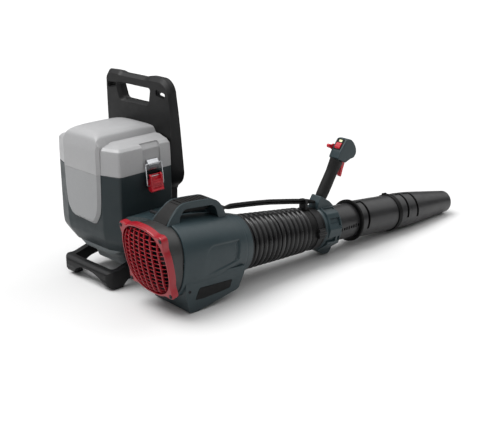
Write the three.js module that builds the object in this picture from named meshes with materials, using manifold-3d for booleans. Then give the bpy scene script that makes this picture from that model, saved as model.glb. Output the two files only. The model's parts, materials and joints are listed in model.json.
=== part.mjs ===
// Battery backpack leaf blower: pack frame with lidded battery case, side-mounted axial
// blower, flexible bellows hose, control handle, telescoping tube and tapered nozzle.
// Millimetres, +Z up, +Y = the wearer's forward direction, +X = the wearer's right side.
import * as THREE from 'three';
import { mergeVertices } from 'three/addons/utils/BufferGeometryUtils.js';
import Module from 'manifold-3d';

const wasm = await Module();
wasm.setup();

// ------------------------------------------------------------------ driving dimensions
const GAP = 0.3;                 // clearance between touching pieces
const CASE_HW = 126.5;           // battery case half width
const CASE_REAR = -10;           // rear wall of the case
const CASE_FRONT = 170;          // front wall of the case, against the back frame
const SEAM_Z = 297;              // lid seam height
const CASE_BOTTOM = 97;          // underside of the dark case shell
const WALL = 4;                  // case wall
const PANEL_HW = 73.5;           // raised rear panel half width
const PLATE_Y0 = 170.4;          // back frame rear face
const PLATE_Y1 = 196;            // back frame front face
const PLATE_TOP = 505;           // back frame height
const PAD_SEAT = 14;             // depth of the recess that takes the back pad
const LOOP_HW = 97;              // foot loop outer half width
const HINGE = { x: -133.5, z: 297, r: 3 };        // lid hinge pin
const LEVER = { x: 134.5, z: 286, y0: 85, y1: 129 };   // latch lever pivot
const BAIL = { x: 138, z: 263, r: 1.5 };          // bail pivot on the lever

const AXIS_ORIGIN = [264.5, 0, 132.8];            // blower axis at Y = 0
const AXIS_YAW = -3.69;                           // degrees, outboard
const AXIS_PITCH = -5.17;                         // degrees, nose down
const SQ_N = 2.6;                                 // squareness of the blower section
const HOUSING = [[12, 90, 2.6], [50, 91, 2.6], [110, 90, 2.55], [160, 86.5, 2.4], [200, 82, 2.2], [225, 78, 2.05], [238, 75, 2]];
const HOUSING_WALL = 4;
const FACE_TILT = 15.2;                           // inlet face leans back at its top
const FACE_Y = -31, FACE_Z = 2;
const FACE_HW = 89;                               // inlet frame half width
const LUG_X = 77, LUG_Z = 72;
const FAN_R = 77, HUB_R = 33;
const HOSE_Y0 = 243, HOSE_MID = 352, HOSE_Y1 = 462;
const HOSE_R0 = 72, HOSE_R1 = 61.5;
const TUBE_IN_R = 48.6, TUBE_OUT_R = 52.6;
const CLAMP_Y0 = 514, CLAMP_Y1 = 577;
const FLANGE_Y = 658, OUT_Y1 = 829, ADAPT_Y0 = 842, ADAPT_Y1 = 916, NOZZLE_Y1 = 1096;
const NOZZLE_R = 33;
const GRIP0 = [541, 82], GRIP_DIR = [0.46, 0.888], GRIP_L = 108;
const TRIG = { y: 613, z: 180 };
const SPEED = { y: 594, z: 212 };

// ------------------------------------------------------------------ solid helpers
const V2 = (a) => new THREE.Vector2(a[0], a[1]);
function mesh3(verts, tris) {
  let vol = 0;
  for (const [a, b, c] of tris) {
    const A = verts[a], B = verts[b], C = verts[c];
    vol += A[0] * (B[1] * C[2] - B[2] * C[1]) - A[1] * (B[0] * C[2] - B[2] * C[0]) + A[2] * (B[0] * C[1] - B[1] * C[0]);
  }
  const idx = [];
  for (const [a, b, c] of tris) vol < 0 ? idx.push(a, c, b) : idx.push(a, b, c);
  const g = new THREE.BufferGeometry();
  g.setAttribute('position', new THREE.Float32BufferAttribute(verts.flat(), 3));
  g.setIndex(idx);
  return g;
}
// closed skin through rings of equal point count; cap and cap2 are 2-D points that triangulate the first and last ring
function loft(rings, cap, cap2) {
  const n = rings[0].length, verts = rings.flat(), tris = [];
  for (let k = 0; k + 1 < rings.length; k++) for (let i = 0; i < n; i++) {
    const j = (i + 1) % n, a = k * n + i, b = k * n + j, c = a + n, d = b + n;
    tris.push([a, b, d], [a, d, c]);
  }
  const flat = cap || rings[0].map((p) => p);
  const f = THREE.ShapeUtils.triangulateShape(flat.map(V2), []);
  const f2 = cap2 ? THREE.ShapeUtils.triangulateShape(cap2.map(V2), []) : f;
  const L = (rings.length - 1) * n;
  for (const [a, b, c] of f) tris.push([c, b, a]);
  for (const [a, b, c] of f2) tris.push([a + L, b + L, c + L]);
  return mesh3(verts, tris);
}
const lift = { x: (t, p) => [t, p[0], p[1]], y: (t, p) => [p[0], t, p[1]], z: (t, p) => [p[0], p[1], t] };
function prism(pts, a, b, axis = 'z', ptsB = null) {
  const q = ensureCCW(pts), r = ptsB ? (q === pts ? ptsB : ptsB.slice().reverse()) : q;
  return loft([q.map((p) => lift[axis](a, p)), r.map((p) => lift[axis](b, p))], q);
}
function ensureCCW(pts) { return THREE.ShapeUtils.area(pts.map(V2)) >= 0 ? pts : pts.slice().reverse(); }
const rect = (x0, x1, y0, y1) => [[x0, y0], [x1, y0], [x1, y1], [x0, y1]];
const box = (x0, x1, y0, y1, z0, z1) => prism(rect(x0, x1, y0, y1), z0, z1);
function fillet(pts, r, n = 2) {
  const out = [], m = pts.length;
  for (let i = 0; i < m; i++) {
    const P = pts[i], A = pts[(i + m - 1) % m], B = pts[(i + 1) % m], rr = Array.isArray(r) ? r[i] : r;
    if (!rr) { out.push(P); continue; }
    const u = [A[0] - P[0], A[1] - P[1]], v = [B[0] - P[0], B[1] - P[1]];
    const lu = Math.hypot(...u), lv = Math.hypot(...v), d = Math.min(rr, lu * 0.45, lv * 0.45);
    const S = [P[0] + u[0] / lu * d, P[1] + u[1] / lu * d], E = [P[0] + v[0] / lv * d, P[1] + v[1] / lv * d];
    for (let k = 0; k <= n; k++) {
      const t = k / n;
      out.push([(1 - t) ** 2 * S[0] + 2 * t * (1 - t) * P[0] + t * t * E[0], (1 - t) ** 2 * S[1] + 2 * t * (1 - t) * P[1] + t * t * E[1]]);
    }
  }
  return out;
}
// body of revolution about the Y axis; the profile is [radius, y] and either closes on itself or starts and ends on the axis
function revolve(profile, seg = 24) {
  const verts = [], id = [], tris = [], n = profile.length;
  const solid = profile[0][0] < 1e-6;
  for (const [r, y] of profile) {
    if (r < 1e-6) { id.push([verts.length]); verts.push([0, y, 0]); continue; }
    const row = [];
    for (let i = 0; i < seg; i++) { const t = (i + 0.5) / seg * 2 * Math.PI; row.push(verts.length); verts.push([r * Math.cos(t), y, r * Math.sin(t)]); }
    id.push(row);
  }
  const last = solid ? n - 1 : n;
  for (let k = 0; k < last; k++) {
    const A = id[k], B = id[(k + 1) % n];
    for (let i = 0; i < seg; i++) {
      const j = (i + 1) % seg;
      if (A.length > 1 && B.length > 1) tris.push([A[i], A[j], B[j]], [A[i], B[j], B[i]]);
      else if (A.length > 1) tris.push([A[i], A[j], B[0]]);
      else if (B.length > 1) tris.push([A[0], B[j], B[i]]);
    }
  }
  return mesh3(verts, tris);
}
const rod = (r, y0, y1, seg = 16) => revolve([[0, y0], [r, y0], [r, y1], [0, y1]], seg);
const pipe = (r1, r0, y0, y1, seg = 24) => revolve([[r0, y0], [r1, y0], [r1, y1], [r0, y1]], seg);
const move = (g, x, y, z) => g.clone().translate(x, y, z);
const spin = (g, ax, deg) => { const h = g.clone(), t = deg * Math.PI / 180; ax === 'x' ? h.rotateX(t) : ax === 'y' ? h.rotateY(t) : h.rotateZ(t); return h; };
function toM(g) {
  const h = g.clone(); h.deleteAttribute('normal'); h.deleteAttribute('uv');
  const m = mergeVertices(h, 1e-4);
  const idx = Array.from(m.index.array), keep = [];
  for (let i = 0; i < idx.length; i += 3) if (idx[i] !== idx[i + 1] && idx[i + 1] !== idx[i + 2] && idx[i] !== idx[i + 2]) keep.push(idx[i], idx[i + 1], idx[i + 2]);
  return new wasm.Manifold(new wasm.Mesh({ numProp: 3, vertProperties: new Float32Array(m.attributes.position.array), triVerts: new Uint32Array(keep) }));
}
function toG(m) {
  const k = m.getMesh(), g = new THREE.BufferGeometry();
  g.setAttribute('position', new THREE.Float32BufferAttribute(Float32Array.from(k.vertProperties), 3));
  g.setIndex(Array.from(k.triVerts));
  return g;
}
const join = (...gs) => toG(gs.map(toM).reduce((a, b) => a.add(b)));
const cut = (g, ...cs) => toG(cs.map(toM).reduce((a, b) => a.subtract(b), toM(g)));
const both = (a, b) => toG(toM(a).intersect(toM(b)));

// ------------------------------------------------------------------ materials
const mat = (c, r, m = 0) => new THREE.MeshStandardMaterial({ color: c, roughness: r, metalness: m });
const SLATE = mat(0x2e393e, 0.45), BLACK = mat(0x1b1c1e, 0.5), LIGHT = mat(0x9c9ea1, 0.5), RED = mat(0xb3262f, 0.45);
const RUBBER = mat(0x151515, 0.8), STEEL = mat(0xb9bcc0, 0.3, 1), GREY = mat(0x3a3c3e, 0.6), FABRIC = mat(0x202224, 0.95);
const COPPER = mat(0x8a8d90, 0.35, 1), LENS = mat(0xdfeee4, 0.25);

const group = new THREE.Group();
function node(name, geometry, material, m4 = null) {
  const g = geometry.clone();
  if (m4) g.applyMatrix4(m4);
  const mesh = new THREE.Mesh(g, material);
  mesh.name = name;
  group.add(mesh);
  return mesh;
}
const deg = Math.PI / 180;
const BLOWER = new THREE.Matrix4().makeTranslation(...AXIS_ORIGIN)
  .multiply(new THREE.Matrix4().makeRotationZ(AXIS_YAW * deg)).multiply(new THREE.Matrix4().makeRotationX(AXIS_PITCH * deg));
const UNBLOWER = BLOWER.clone().invert();
const FACE = new THREE.Matrix4().makeTranslation(0, FACE_Y, FACE_Z).multiply(new THREE.Matrix4().makeRotationX(FACE_TILT * deg));

// ================================================================== pack
// ---- back frame: moulded plate, carry opening, strap slots, feet
{
  const half = (pts) => pts.concat(pts.slice().reverse().map(([x, z]) => [-x, z]));
  const rear = half([[58, 30], [70, 2], [108, 2], [114, 12], [114, 200], [114, 236], [121, 252], [124, 275], [127, 385], [127, 472], [116, 489], [90, PLATE_TOP - 8], [66, PLATE_TOP - 8], [52, PLATE_TOP - 8], [0.01, PLATE_TOP - 8]]);
  const mid = half([[58, 30], [70, 2], [108, 2], [114, 12], [114.5, 200], [115, 235], [128, 252], [132, 274], [131, 385], [127, 477], [116, 498], [98, PLATE_TOP + 3], [82, PLATE_TOP + 3], [70, PLATE_TOP - 1], [0.01, PLATE_TOP - 1]]);
  const front = half([[58, 30], [70, 2], [108, 2], [114, 12], [115, 200], [116, 234], [138, 252], [145, 272], [134, 385], [122, 477], [109, 491], [92, PLATE_TOP], [76, PLATE_TOP + 1], [64, PLATE_TOP - 4], [0.01, PLATE_TOP - 4]]);
  let g = loft([[PLATE_Y0, rear], [PLATE_Y0 + 9, mid], [PLATE_Y1, front]].map(([y, r]) => r.map(([x, z]) => [x, y, z])), rear, front);
  g = cut(g, prism(fillet([[-80, 478], [50, 478], [40, 438], [-65, 438]], 10, 3), PLATE_Y0 - 1, PLATE_Y1 + 1, 'y'));
  for (const s of [-1, 1]) {
    const slot = fillet([[s * 82, 478], [s * 111, 473], [s * 111, 463], [s * 82, 468]], 4, 2);
    g = cut(g, prism(slot, PLATE_Y0 - 1, PLATE_Y1 + 1, 'y'));
  }
  // recess that takes the back pad
  g = cut(g, prism(fillet([[-100, 60], [100, 60], [106, 250], [112, 290], [104, 420], [-104, 420], [-112, 290], [-106, 250]], 14, 2), PLATE_Y1 - PAD_SEAT, PLATE_Y1 + 1, 'y'));
  for (const s of [-1, 1]) g = join(g, prism(fillet(rect(s * 89 - 14, s * 89 + 14, PLATE_Y0 + 4, PLATE_Y1 - 4), 6, 2), 0, 6));
  node('back_frame', g, BLACK);
}
// ---- foot loop: U-shaped base bar, arms run forward under the case
{
  const U = [[-LOOP_HW, CASE_FRONT], [-LOOP_HW, -22], [LOOP_HW, -22], [LOOP_HW, CASE_FRONT], [72, CASE_FRONT], [72, 4], [-72, 4], [-72, CASE_FRONT]];
  const Ur = fillet(U, [0, 26, 26, 0, 0, 10, 10, 0], 3);
  const prof = fillet([[-21, 18], [-12, 2], [40, 2], [CASE_FRONT, 2], [CASE_FRONT, 66], [96, 66], [50, 52], [14, 40.5], [-14, 42.5], [-21, 34]], [6, 6, 0, 0, 0, 8, 8, 6, 8, 6], 2);
  let g = both(prism(Ur, 0, 75), prism(prof, -LOOP_HW - 1, LOOP_HW + 1, 'x'));
  g = cut(g, prism([[-74, -1], [-64, 12], [-48, 21], [-20, 24], [20, 24], [48, 21], [64, 12], [74, -1]], -40, 20, 'y'));
  g = cut(g, box(-120, 120, 40, 156, -1, 18));
  for (const s of [-1, 1]) {
    g = join(g, prism(fillet(rect(s * 84 - 9, s * 84 + 9, -10, 36), 6, 2), 0, 4));
    g = join(g, prism([[76, 50], [140, 50], [140, 78], [124, 84], [96, 84], [86, 72]], s * 90 - 6, s * 90 + 3, 'x'));
  }
  node('foot_loop', g, BLACK);
}
// ---- battery case shell
const plan = (hw, yr, hp, yc, yf, cf) => [[-hp, yr], [hp, yr], [hw, yc], [hw, yf - cf], [hw - cf, yf], [-hw + cf, yf], [-hw, yf - cf], [-hw, yc]];
const planR = (...a) => fillet(plan(...a), [8, 8, 14, 2, 2, 2, 2, 14], 2);
function caseLoft(levels, d = 0) {
  const rings = levels.map(([z, hw, yr, hp, yc]) => planR(hw - d, yr + d, hp - d * 0.4, yc + d * 0.7, CASE_FRONT - d, 2.5).map((p) => [p[0], p[1], z]));
  return loft(rings, rings[0].map((p) => [p[0], p[1]]));
}
{
  const out = caseLoft([[CASE_BOTTOM, 105, 10, 64, 24], [106, 111, 5, 66, 19], [132, CASE_HW, -7, 73, 10], [158, CASE_HW, CASE_REAR, PANEL_HW, 8.4], [SEAM_Z - 0.2, CASE_HW, CASE_REAR, PANEL_HW, 8.4]]);
  const inn = caseLoft([[CASE_BOTTOM + 5, 108, 7, 66, 21], [132, CASE_HW, -7, 73, 10], [158, CASE_HW, CASE_REAR, PANEL_HW, 8.4], [SEAM_Z + 5, CASE_HW, CASE_REAR, PANEL_HW, 8.4]], WALL);
  // hinge knuckles on the left, latch boss on the right
  let g = out;
  for (const [y0, y1] of [[34, 56], [116, 138]]) g = join(g, prism([[-CASE_HW + 2, 276], [-CASE_HW + 2, 296.8], [-127.2, 296.8], [-129.5, 300.5], [-134, 303.5], [-139, 301], [-140, 295], [-136, 288]], y0, y1, 'y'));
  g = cut(g, inn, move(rod(HINGE.r + 0.3, 20, 150, 12), HINGE.x, 0, HINGE.z), box(-150, -CASE_HW - 0.0, 20, 33.7, 270, 310));
  node('case_shell', g, SLATE);
  // rear shield panel, proud of the shell
  const sh = fillet([[-PANEL_HW + 0.5, SEAM_Z - 0.2], [-PANEL_HW + 2, 236], [-66, 194], [-47, 170], [36, 166], [47, 168], [66, 194], [PANEL_HW - 2, 236], [PANEL_HW - 0.5, SEAM_Z - 0.2]], [0, 20, 14, 10, 0, 10, 14, 20, 0], 2);
  const shF = sh.map(([x, z]) => [x * 0.97, z < 200 ? z + 2.5 : z]);
  node('case_panel', prism(sh, CASE_REAR - GAP, CASE_REAR - 3.2, 'y', shF), LIGHT);
  // light tray that closes the underside
  const a = planR(58, 60, 48, 68, 150, 10), b = planR(61, 50, 46, 60, 154, 10), c = planR(66, 20, 48, 30, 158, 10), d = planR(100, 13, 62, 26, 160, 14);
  node('case_tray', loft([a.map((p) => [...p, 38]), b.map((p) => [...p, 60]), c.map((p) => [...p, 80]), d.map((p) => [...p, CASE_BOTTOM - GAP])], a), LIGHT);
}
// ---- inside the case
{
  const p = fillet([[-60, 258], [-60, 284], [60, 284], [60, 258], [46, 258], [46, 274], [-46, 274], [-46, 258]], [0, 8, 8, 0, 0, 4, 4, 0], 2);
  node('battery_pack', join(prism(fillet(rect(-98, 98, 26, 148), 12, 2), 122, 262), prism(p, 76, 98, 'y')), GREY);
}
node('battery_dock', join(box(-90, 14, 40, 134, CASE_BOTTOM + 5 + GAP, 118), box(-70, -62, 60, 114, 117, 121.7), box(-12, -4, 60, 114, 117, 121.7)), BLACK);
node('controller_box', prism(fillet(rect(20, 92, 40, 134), 5, 1), CASE_BOTTOM + 5 + GAP, 121.7), COPPER);

// ---- lid
{
  const lv = [[SEAM_Z + 0.2, 0], [345, 0.4], [360, 2.5], [369, 7], [375, 15], [377.5, 26]];
  const rings = lv.map(([z, d]) => planR(CASE_HW - d, CASE_REAR + d, PANEL_HW - d * 0.4, 8.4 + d * 0.7, CASE_FRONT - Math.min(d, 3), 2.5).map((p) => [p[0], p[1], z]));
  const shoulders = loft(rings, rings[0].map((p) => [p[0], p[1]]));
  const bandXZ = [[-PANEL_HW, SEAM_Z + 0.2], [-PANEL_HW, 350], [-69, 384], [-58, 389], [0, 393], [58, 389], [69, 384], [PANEL_HW, 350], [PANEL_HW, SEAM_Z + 0.2]];
  const bandYZ = [[CASE_REAR - 3.2, SEAM_Z + 0.2], [CASE_REAR - 3.2, 350], [-10, 366], [-1, 378], [14, 385], [60, 391], [120, 393], [160, 392], [CASE_FRONT, 387], [CASE_FRONT, SEAM_Z + 0.2]];
  const band = both(prism(bandXZ, -30, 180, 'y'), prism(bandYZ, -90, 90, 'x'));
  const lvI = [[SEAM_Z - 5, 5], [345, 5.4], [362, 8.5], [371, 24]];
  const ringsI = lvI.map(([z, d]) => planR(CASE_HW - d, CASE_REAR + d, PANEL_HW - d * 0.4, 8.4 + d * 0.7, CASE_FRONT - Math.min(d, 6), 2.5).map((p) => [p[0], p[1], z]));
  let g = join(shoulders, band);
  g = join(g, prism([[-CASE_HW + 2, 301], [-CASE_HW + 2, 320], [-134, 304], [-139.5, 300], [-140, 294.5], [-135, 290.5], [-130, 292], [-128, 297.3], [-CASE_HW - 0.4, 301]], 62, 110, 'y'));
  g = cut(g, loft(ringsI, ringsI[0].map((p) => [p[0], p[1]])), move(rod(HINGE.r + 0.3, 20, 150, 12), HINGE.x, 0, HINGE.z));
  // latch recess in the right wall
  g = cut(g, prism(fillet([[79, 290], [79, 356], [84, 361], [130, 361], [135, 356], [135, 290]], [0, 0, 4, 4, 0, 0], 1), CASE_HW - 3, CASE_HW + 10, 'x'));
  node('case_lid', g, LIGHT);
  node('lid_hinge_pin', move(rod(HINGE.r, 30, 142, 12), HINGE.x, 0, HINGE.z), STEEL);
}
// ---- draw latch on the right wall
node('lid_catch', join(prism([[CASE_HW - 3 + GAP, 299], [CASE_HW - 3 + GAP, 324], [CASE_HW - 1, 322], [129.5, 311], [133.5, 314.3], [134.5, 312.5], [130.5, 305.5], [128, 302], [128, 299]], 90, 124, 'y')), STEEL);
{
  const base = box(CASE_HW + GAP, CASE_HW + 2.5, 84.5, 129.5, 258, 295);
  const ear = (y) => prism(fillet([[CASE_HW + 1, 276], [CASE_HW + 1, 294], [136, 292.5], [139.5, 286], [136, 278]], [0, 0, 3, 3, 3], 1), y, y + 3, 'y');
  let g = join(base, ear(84.5), ear(126.5));
  g = cut(g, move(rod(2.3, 70, 150, 10), LEVER.x, 0, LEVER.z));
  node('latch_base', g, BLACK);
  node('latch_pin', move(rod(2, 83.8, 130.2, 10), LEVER.x, 0, LEVER.z), STEEL);
  let l = prism(fillet([[131, 289], [136, 291.5], [142, 288], [144, 276], [145, 263], [146, 255], [149, 250], [145.5, 247.5], [140, 248.5], [134, 252], [131, 263], [130.6, 280]], 2, 1), 88, 126, 'y');
  l = cut(l, move(rod(2.3, 70, 150, 10), LEVER.x, 0, LEVER.z), move(rod(BAIL.r + 0.3, 80, 97, 8), BAIL.x, 0, BAIL.z), move(rod(BAIL.r + 0.3, 117, 135, 8), BAIL.x, 0, BAIL.z));
  l = cut(l, box(141.5, 150, 92, 122, 272, 295));
  node('latch_lever', l, RED);
  // wire bail: square-section loop from the lever up over the catch
  const w = BAIL.r, top = 317, xt = 132.4;
  const leg = (y) => loft([[BAIL.z - w, BAIL.x], [top - 1.2, xt]].map(([z, x]) => [[x - w, y - w, z], [x + w, y - w, z], [x + w, y + w, z], [x - w, y + w, z]]), rect(0, 1, 0, 1));
  const pinY = (y0, y1) => move(prism(fillet(rect(-w, w, -w, w), 0.9, 1), y0, y1, 'y'), BAIL.x, 0, BAIL.z);
  const bar = move(prism(fillet(rect(-w, w, -w, w), 0.9, 1), 80, 134, 'y'), xt, 0, top);
  node('latch_bail', join(leg(81.5), leg(132.5), pinY(80, 95), pinY(119, 134), bar), STEEL);
}
// ---- wearer's side: pad and harness
{
  const pad = fillet([[-92, 68], [92, 68], [98, 250], [103, 290], [96, 412], [-96, 412], [-103, 290], [-98, 250]], 16, 3);
  const s = (k, d) => pad.map(([x, z]) => [x * k, (z - 240) * k + 240]);
  node('back_pad', loft([[PLATE_Y1 - PAD_SEAT + GAP, 1], [PLATE_Y1 + 6, 1], [PLATE_Y1 + 13, 0.96], [PLATE_Y1 + 16, 0.88]].map(([y, k]) => s(k).map((p) => [p[0], y, p[1]])), pad), FABRIC);
  for (const sg of [-1, 1]) {
    const side = sg < 0 ? 'left' : 'right';
    // padded shoulder band lies over the pad; a web runs from its lower end to the frame
    const path = [[427, PLATE_Y1 + GAP, 10], [424, PLATE_Y1 + 8, 10], [408, PLATE_Y1 + 17, 11], [380, PLATE_Y1 + 18, 11], [320, PLATE_Y1 + 18.5, 11], [260, PLATE_Y1 + 18.5, 11], [214, PLATE_Y1 + 17, 9]];
    const rings = path.map(([z, y, t], i) => {
      const nz = i < 2 ? 0.7 : 0, ny = i < 2 ? 0.7 : 1, xc = sg * (58 + 10 * (427 - z) / 213), w = 26 - (i === path.length - 1 ? 6 : 0);
      return [[xc - w, y, z], [xc + w, y, z], [xc + w, y + t * ny, z + (i < 2 ? t * nz : 0)], [xc - w, y + t * ny, z + (i < 2 ? t * nz : 0)]];
    });
    node(`shoulder_strap_${side}`, loft(rings, rect(0, 1, 0, 1)), FABRIC);
    const wy = [[213.7, PLATE_Y1 + 18], [195.7, PLATE_Y1 + 17], [150, PLATE_Y1 + 17], [80, PLATE_Y1 + 16.7], [58, PLATE_Y1 + 8], [54, PLATE_Y1 + GAP]];
    const wr = wy.map(([z, y], i) => { const x = sg * (68 + 18 * (213.7 - z) / 160); return [[x - 12.5, y, z], [x + 12.5, y, z], [x + 12.5, y + 2.2, z - (i > 3 ? 1.8 : 0)], [x - 12.5, y + 2.2, z - (i > 3 ? 1.8 : 0)]]; });
    node(`strap_web_${side}`, loft(wr, rect(0, 1, 0, 1)), FABRIC);
  }
}

// ================================================================== blower (axis frame)
const sq = (a, n, seg = 24) => Array.from({ length: seg }, (_, i) => {
  const t = (i + 0.5) / seg * 2 * Math.PI, c = Math.cos(t), s = Math.sin(t);
  const r = a / Math.pow(Math.pow(Math.abs(c), n) + Math.pow(Math.abs(s), n), 1 / n);
  return [r * c, r * s];
});
const faceRing = (a, n, gy) => sq(a, n).map(([x, z]) => { const v = new THREE.Vector3(x, gy, z).applyMatrix4(FACE); return [v.x, v.y, v.z]; });
const yRing = (a, n, y) => sq(a, n).map(([x, z]) => [x, y, z]);
const BAND_Y0 = 14;       // band starts this far behind the inlet face
function envelope(off) {
  const rings = [faceRing(86 + off, SQ_N, BAND_Y0 - 6), faceRing(86 + off, SQ_N, BAND_Y0 + GAP), yRing(86.5 + off, SQ_N, HOUSING[0][0] - GAP), ...HOUSING.map(([y, a, n]) => yRing(a + off, n, y - (y < 13 ? 0.05 : 0)))];
  rings.push(yRing(HOUSING.at(-1)[1] + off, 2, 243));
  return loft(rings, sq(1, 2));
}
const shell = (rOut, rIn) => cut(loft(rOut, sq(1, 2)), loft(rIn, sq(1, 2)));
{
  const outR = HOUSING.map(([y, a, n]) => yRing(a, n, y));
  const inR = HOUSING.map(([y, a, n], i) => yRing(a - HOUSING_WALL, n, y + (i === 0 ? -1 : i === HOUSING.length - 1 ? 1 : 0)));
  let g = shell(outR, inR);
  // shallow inset panel on the outboard side
  const inset = fillet([[74, 38], [176, 32], [170, -20], [66, -34]], 8, 2);
  g = cut(g, both(prism(inset, 60, 120, 'x'), cut(loft(HOUSING.map(([y, a, n]) => yRing(a + 6, n, y + (y < 13 ? -2 : y > 230 ? 2 : 0))), sq(1, 2)), loft(HOUSING.map(([y, a, n]) => yRing(a - 1.4, n, y + (y < 13 ? -3 : y > 230 ? 3 : 0))), sq(1, 2)))));
  node('blower_housing', g, SLATE, BLOWER);
  node('inlet_band', shell([faceRing(86, SQ_N, BAND_Y0 + GAP), yRing(86.5, SQ_N, HOUSING[0][0] - GAP)], [faceRing(80, SQ_N, BAND_Y0 + GAP - 1), yRing(81.5, SQ_N, HOUSING[0][0] - GAP + 1)]), BLACK, BLOWER);
}
// ---- inlet grille: frame, screw lugs and domed lattice in one moulding
{
  const F2 = BLOWER.clone().multiply(FACE);
  const ring = cut(loft([sq(FACE_HW - 3, SQ_N).map(([x, z]) => [x, -3, z]), sq(FACE_HW, SQ_N).map(([x, z]) => [x, 0, z]), sq(FACE_HW, SQ_N).map(([x, z]) => [x, BAND_Y0, z])], sq(1, 2)),
    prism(sq(FACE_HW - 8, SQ_N), -10, BAND_Y0 + 1, 'y'));
  let g = ring;
  for (const sx of [-1, 1]) for (const sz of [-1, 1]) {
    const P = [sx * LUG_X, sz * LUG_Z];
    const lug = fillet([[P[0] + sx * 9, P[1] - sz * 14], [P[0] + sx * 10, P[1] + sz * 4], [P[0] + sx * 4, P[1] + sz * 10], [P[0] - sx * 16, P[1] + sz * 9], [P[0] - sx * 14, P[1] - sz * 6], [P[0] - sx * 2, P[1] - sz * 16]], 4, 1);
    g = join(g, prism(lug, -3, BAND_Y0, 'y'));
  }
  // dome lattice
  const dome = (a, d) => loft([[1, 2], [0.86, -7.5], [0.5, -14], [0.02, -16.5]].map(([k, y]) => sq(a * k, 2.3, 16).map(([x, z]) => [x, y + d, z])), sq(1, 2, 16));
  const skin = cut(dome(FACE_HW - 6, 0), dome(FACE_HW - 6.5, 4));
  let bars = null;
  for (let i = -2; i <= 2; i++) {
    const pts = [], pts2 = [];
    for (let k = -2; k <= 2; k++) { const z = k * 48, x = i * 29 * (1 - 0.18 * (z / 96) ** 2 * (i ? 1 : 0)); pts.push([x - 1.6, z]); pts2.unshift([x + 1.6, z]); }
    const b = prism(pts.concat(pts2), -40, 12, 'y');
    bars = bars ? join(bars, b) : b;
  }
  for (let i = -3; i <= 3; i++) bars = join(bars, box(-90, 90, -40, 12, i * 22 - 1, i * 22 + 1));
  g = join(g, both(skin, bars));
  for (const sx of [-1, 1]) for (const sz of [-1, 1]) g = cut(g, move(rod(3.2, -8, 30, 8), sx * LUG_X, 0, sz * LUG_Z));
  node('inlet_grille', g, RED, F2);
  let n = 1;
  for (const sx of [-1, 1]) for (const sz of [1, -1])
    node(`grille_screw_${n++}`, cut(move(revolve([[0, -5.6], [5, -5.6], [5, -3.3], [2.9, -3.3], [2.9, 12], [0, 12]], 10), sx * LUG_X, 0, sz * LUG_Z), move(rod(1.8, -7, -4.2, 6), sx * LUG_X, 0, sz * LUG_Z)), STEEL, F2);
}
// ---- base block under the blower
const block = both(prism([[20, -30], [202, -26], [202, -42], [193, -86], [187, -89.5], [72, -126.6], [58, -127.9], [52, -125.6], [24, -62]], -100, 100, 'x'),
  prism([[-86, -20], [-86, -44], [-68, -129], [68, -129], [86, -44], [86, -20]], 0, 230, 'y'));
{
  let g = cut(block, envelope(GAP));
  g = cut(g, prism(fillet([[66, -60], [166, -56], [164, -79], [58, -97]], 4, 1), 76.4, 100, 'x'));
  g = cut(g, spin(rod(4.4, -3.4, 12, 12), 'z', -90).applyMatrix4(new THREE.Matrix4().makeRotationY(12 * deg)).translate(82.2, 38, -66));
  node('base_block', g, SLATE, BLOWER);
  node('side_plate', both(prism(fillet([[67, -61], [165, -57], [163, -78], [59.2, -96]], 3.4, 1), 60, 100, 'x'), cut(prism([[0, -20], [0, -129], [69, -129], [86.4, -44], [86.4, -20]], 40, 190, 'y'), box(-10, 76.7, 0, 230, -140, 0))), BLACK, BLOWER);
  const scr = (g2) => spin(g2, 'z', -90).applyMatrix4(new THREE.Matrix4().makeRotationY(12 * deg)).translate(82.2, 38, -66);
  node('block_screw', scr(cut(rod(4, -3, 0.4, 12), rod(1.8, -1.4, 1, 6))), STEEL, BLOWER);
}
// ---- carry handle over the housing, rubber cap along its top
{
  const outer = fillet([[-4, 70], [-2, 82], [12, 101], [34, 124], [50, 132.5], [86, 134.5], [138, 134.5], [160, 124.5], [177, 103], [192, 72], [192, 60], [-4, 60]], [0, 6, 8, 10, 8, 0, 8, 8, 8, 0, 0, 0], 1);
  const hole = fillet([[35, 74], [42, 98], [53, 115], [60, 118], [138, 118.5], [149, 112.5], [156, 98], [164, 74]], [6, 6, 6, 4, 6, 6, 6, 6], 1);
  // rear leg spreads towards its foot
  const flare = loft([[58, 33, -6, 34], [84, 32, 2, 36], [112, 26.5, 23, 44], [128, 24, 44, 56]].map(([z, w, y0, y1]) => [[-w, y0, z], [w, y0, z], [w, y1, z], [-w, y1, z]]), rect(0, 1, 0, 1));
  const body = join(prism(outer, -24, 24, 'x'), both(flare, prism(outer, -40, 40, 'x')));
  let g = cut(body, prism(hole, -50, 50, 'x'), envelope(GAP));
  const lineIn = [[-12, 84], [9, 106], [33, 127], [50, 129.3], [138, 130.5], [153, 123.5], [160, 145], [160, 170], [-40, 170], [-40, 84]];
  const tray = (d) => loft([[78, 27 + d], [84, 27 + d], [112, 21.5 + d], [128, 19 + d], [150, 19 + d]].map(([z, w]) => [[-w, -30, z], [w, -30, z], [w, 170, z], [-w, 170, z]]), rect(0, 1, 0, 1));
  const cap = both(both(body, tray(0)), prism(lineIn, -40, 40, 'x'));
  g = cut(g, both(prism(lineIn.map(([y, z]) => [y, z - GAP]), -40, 40, 'x'), tray(GAP)));
  node('carry_handle', g, SLATE, BLOWER);
  node('handle_cap', cap, RUBBER, BLOWER);
}
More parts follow.
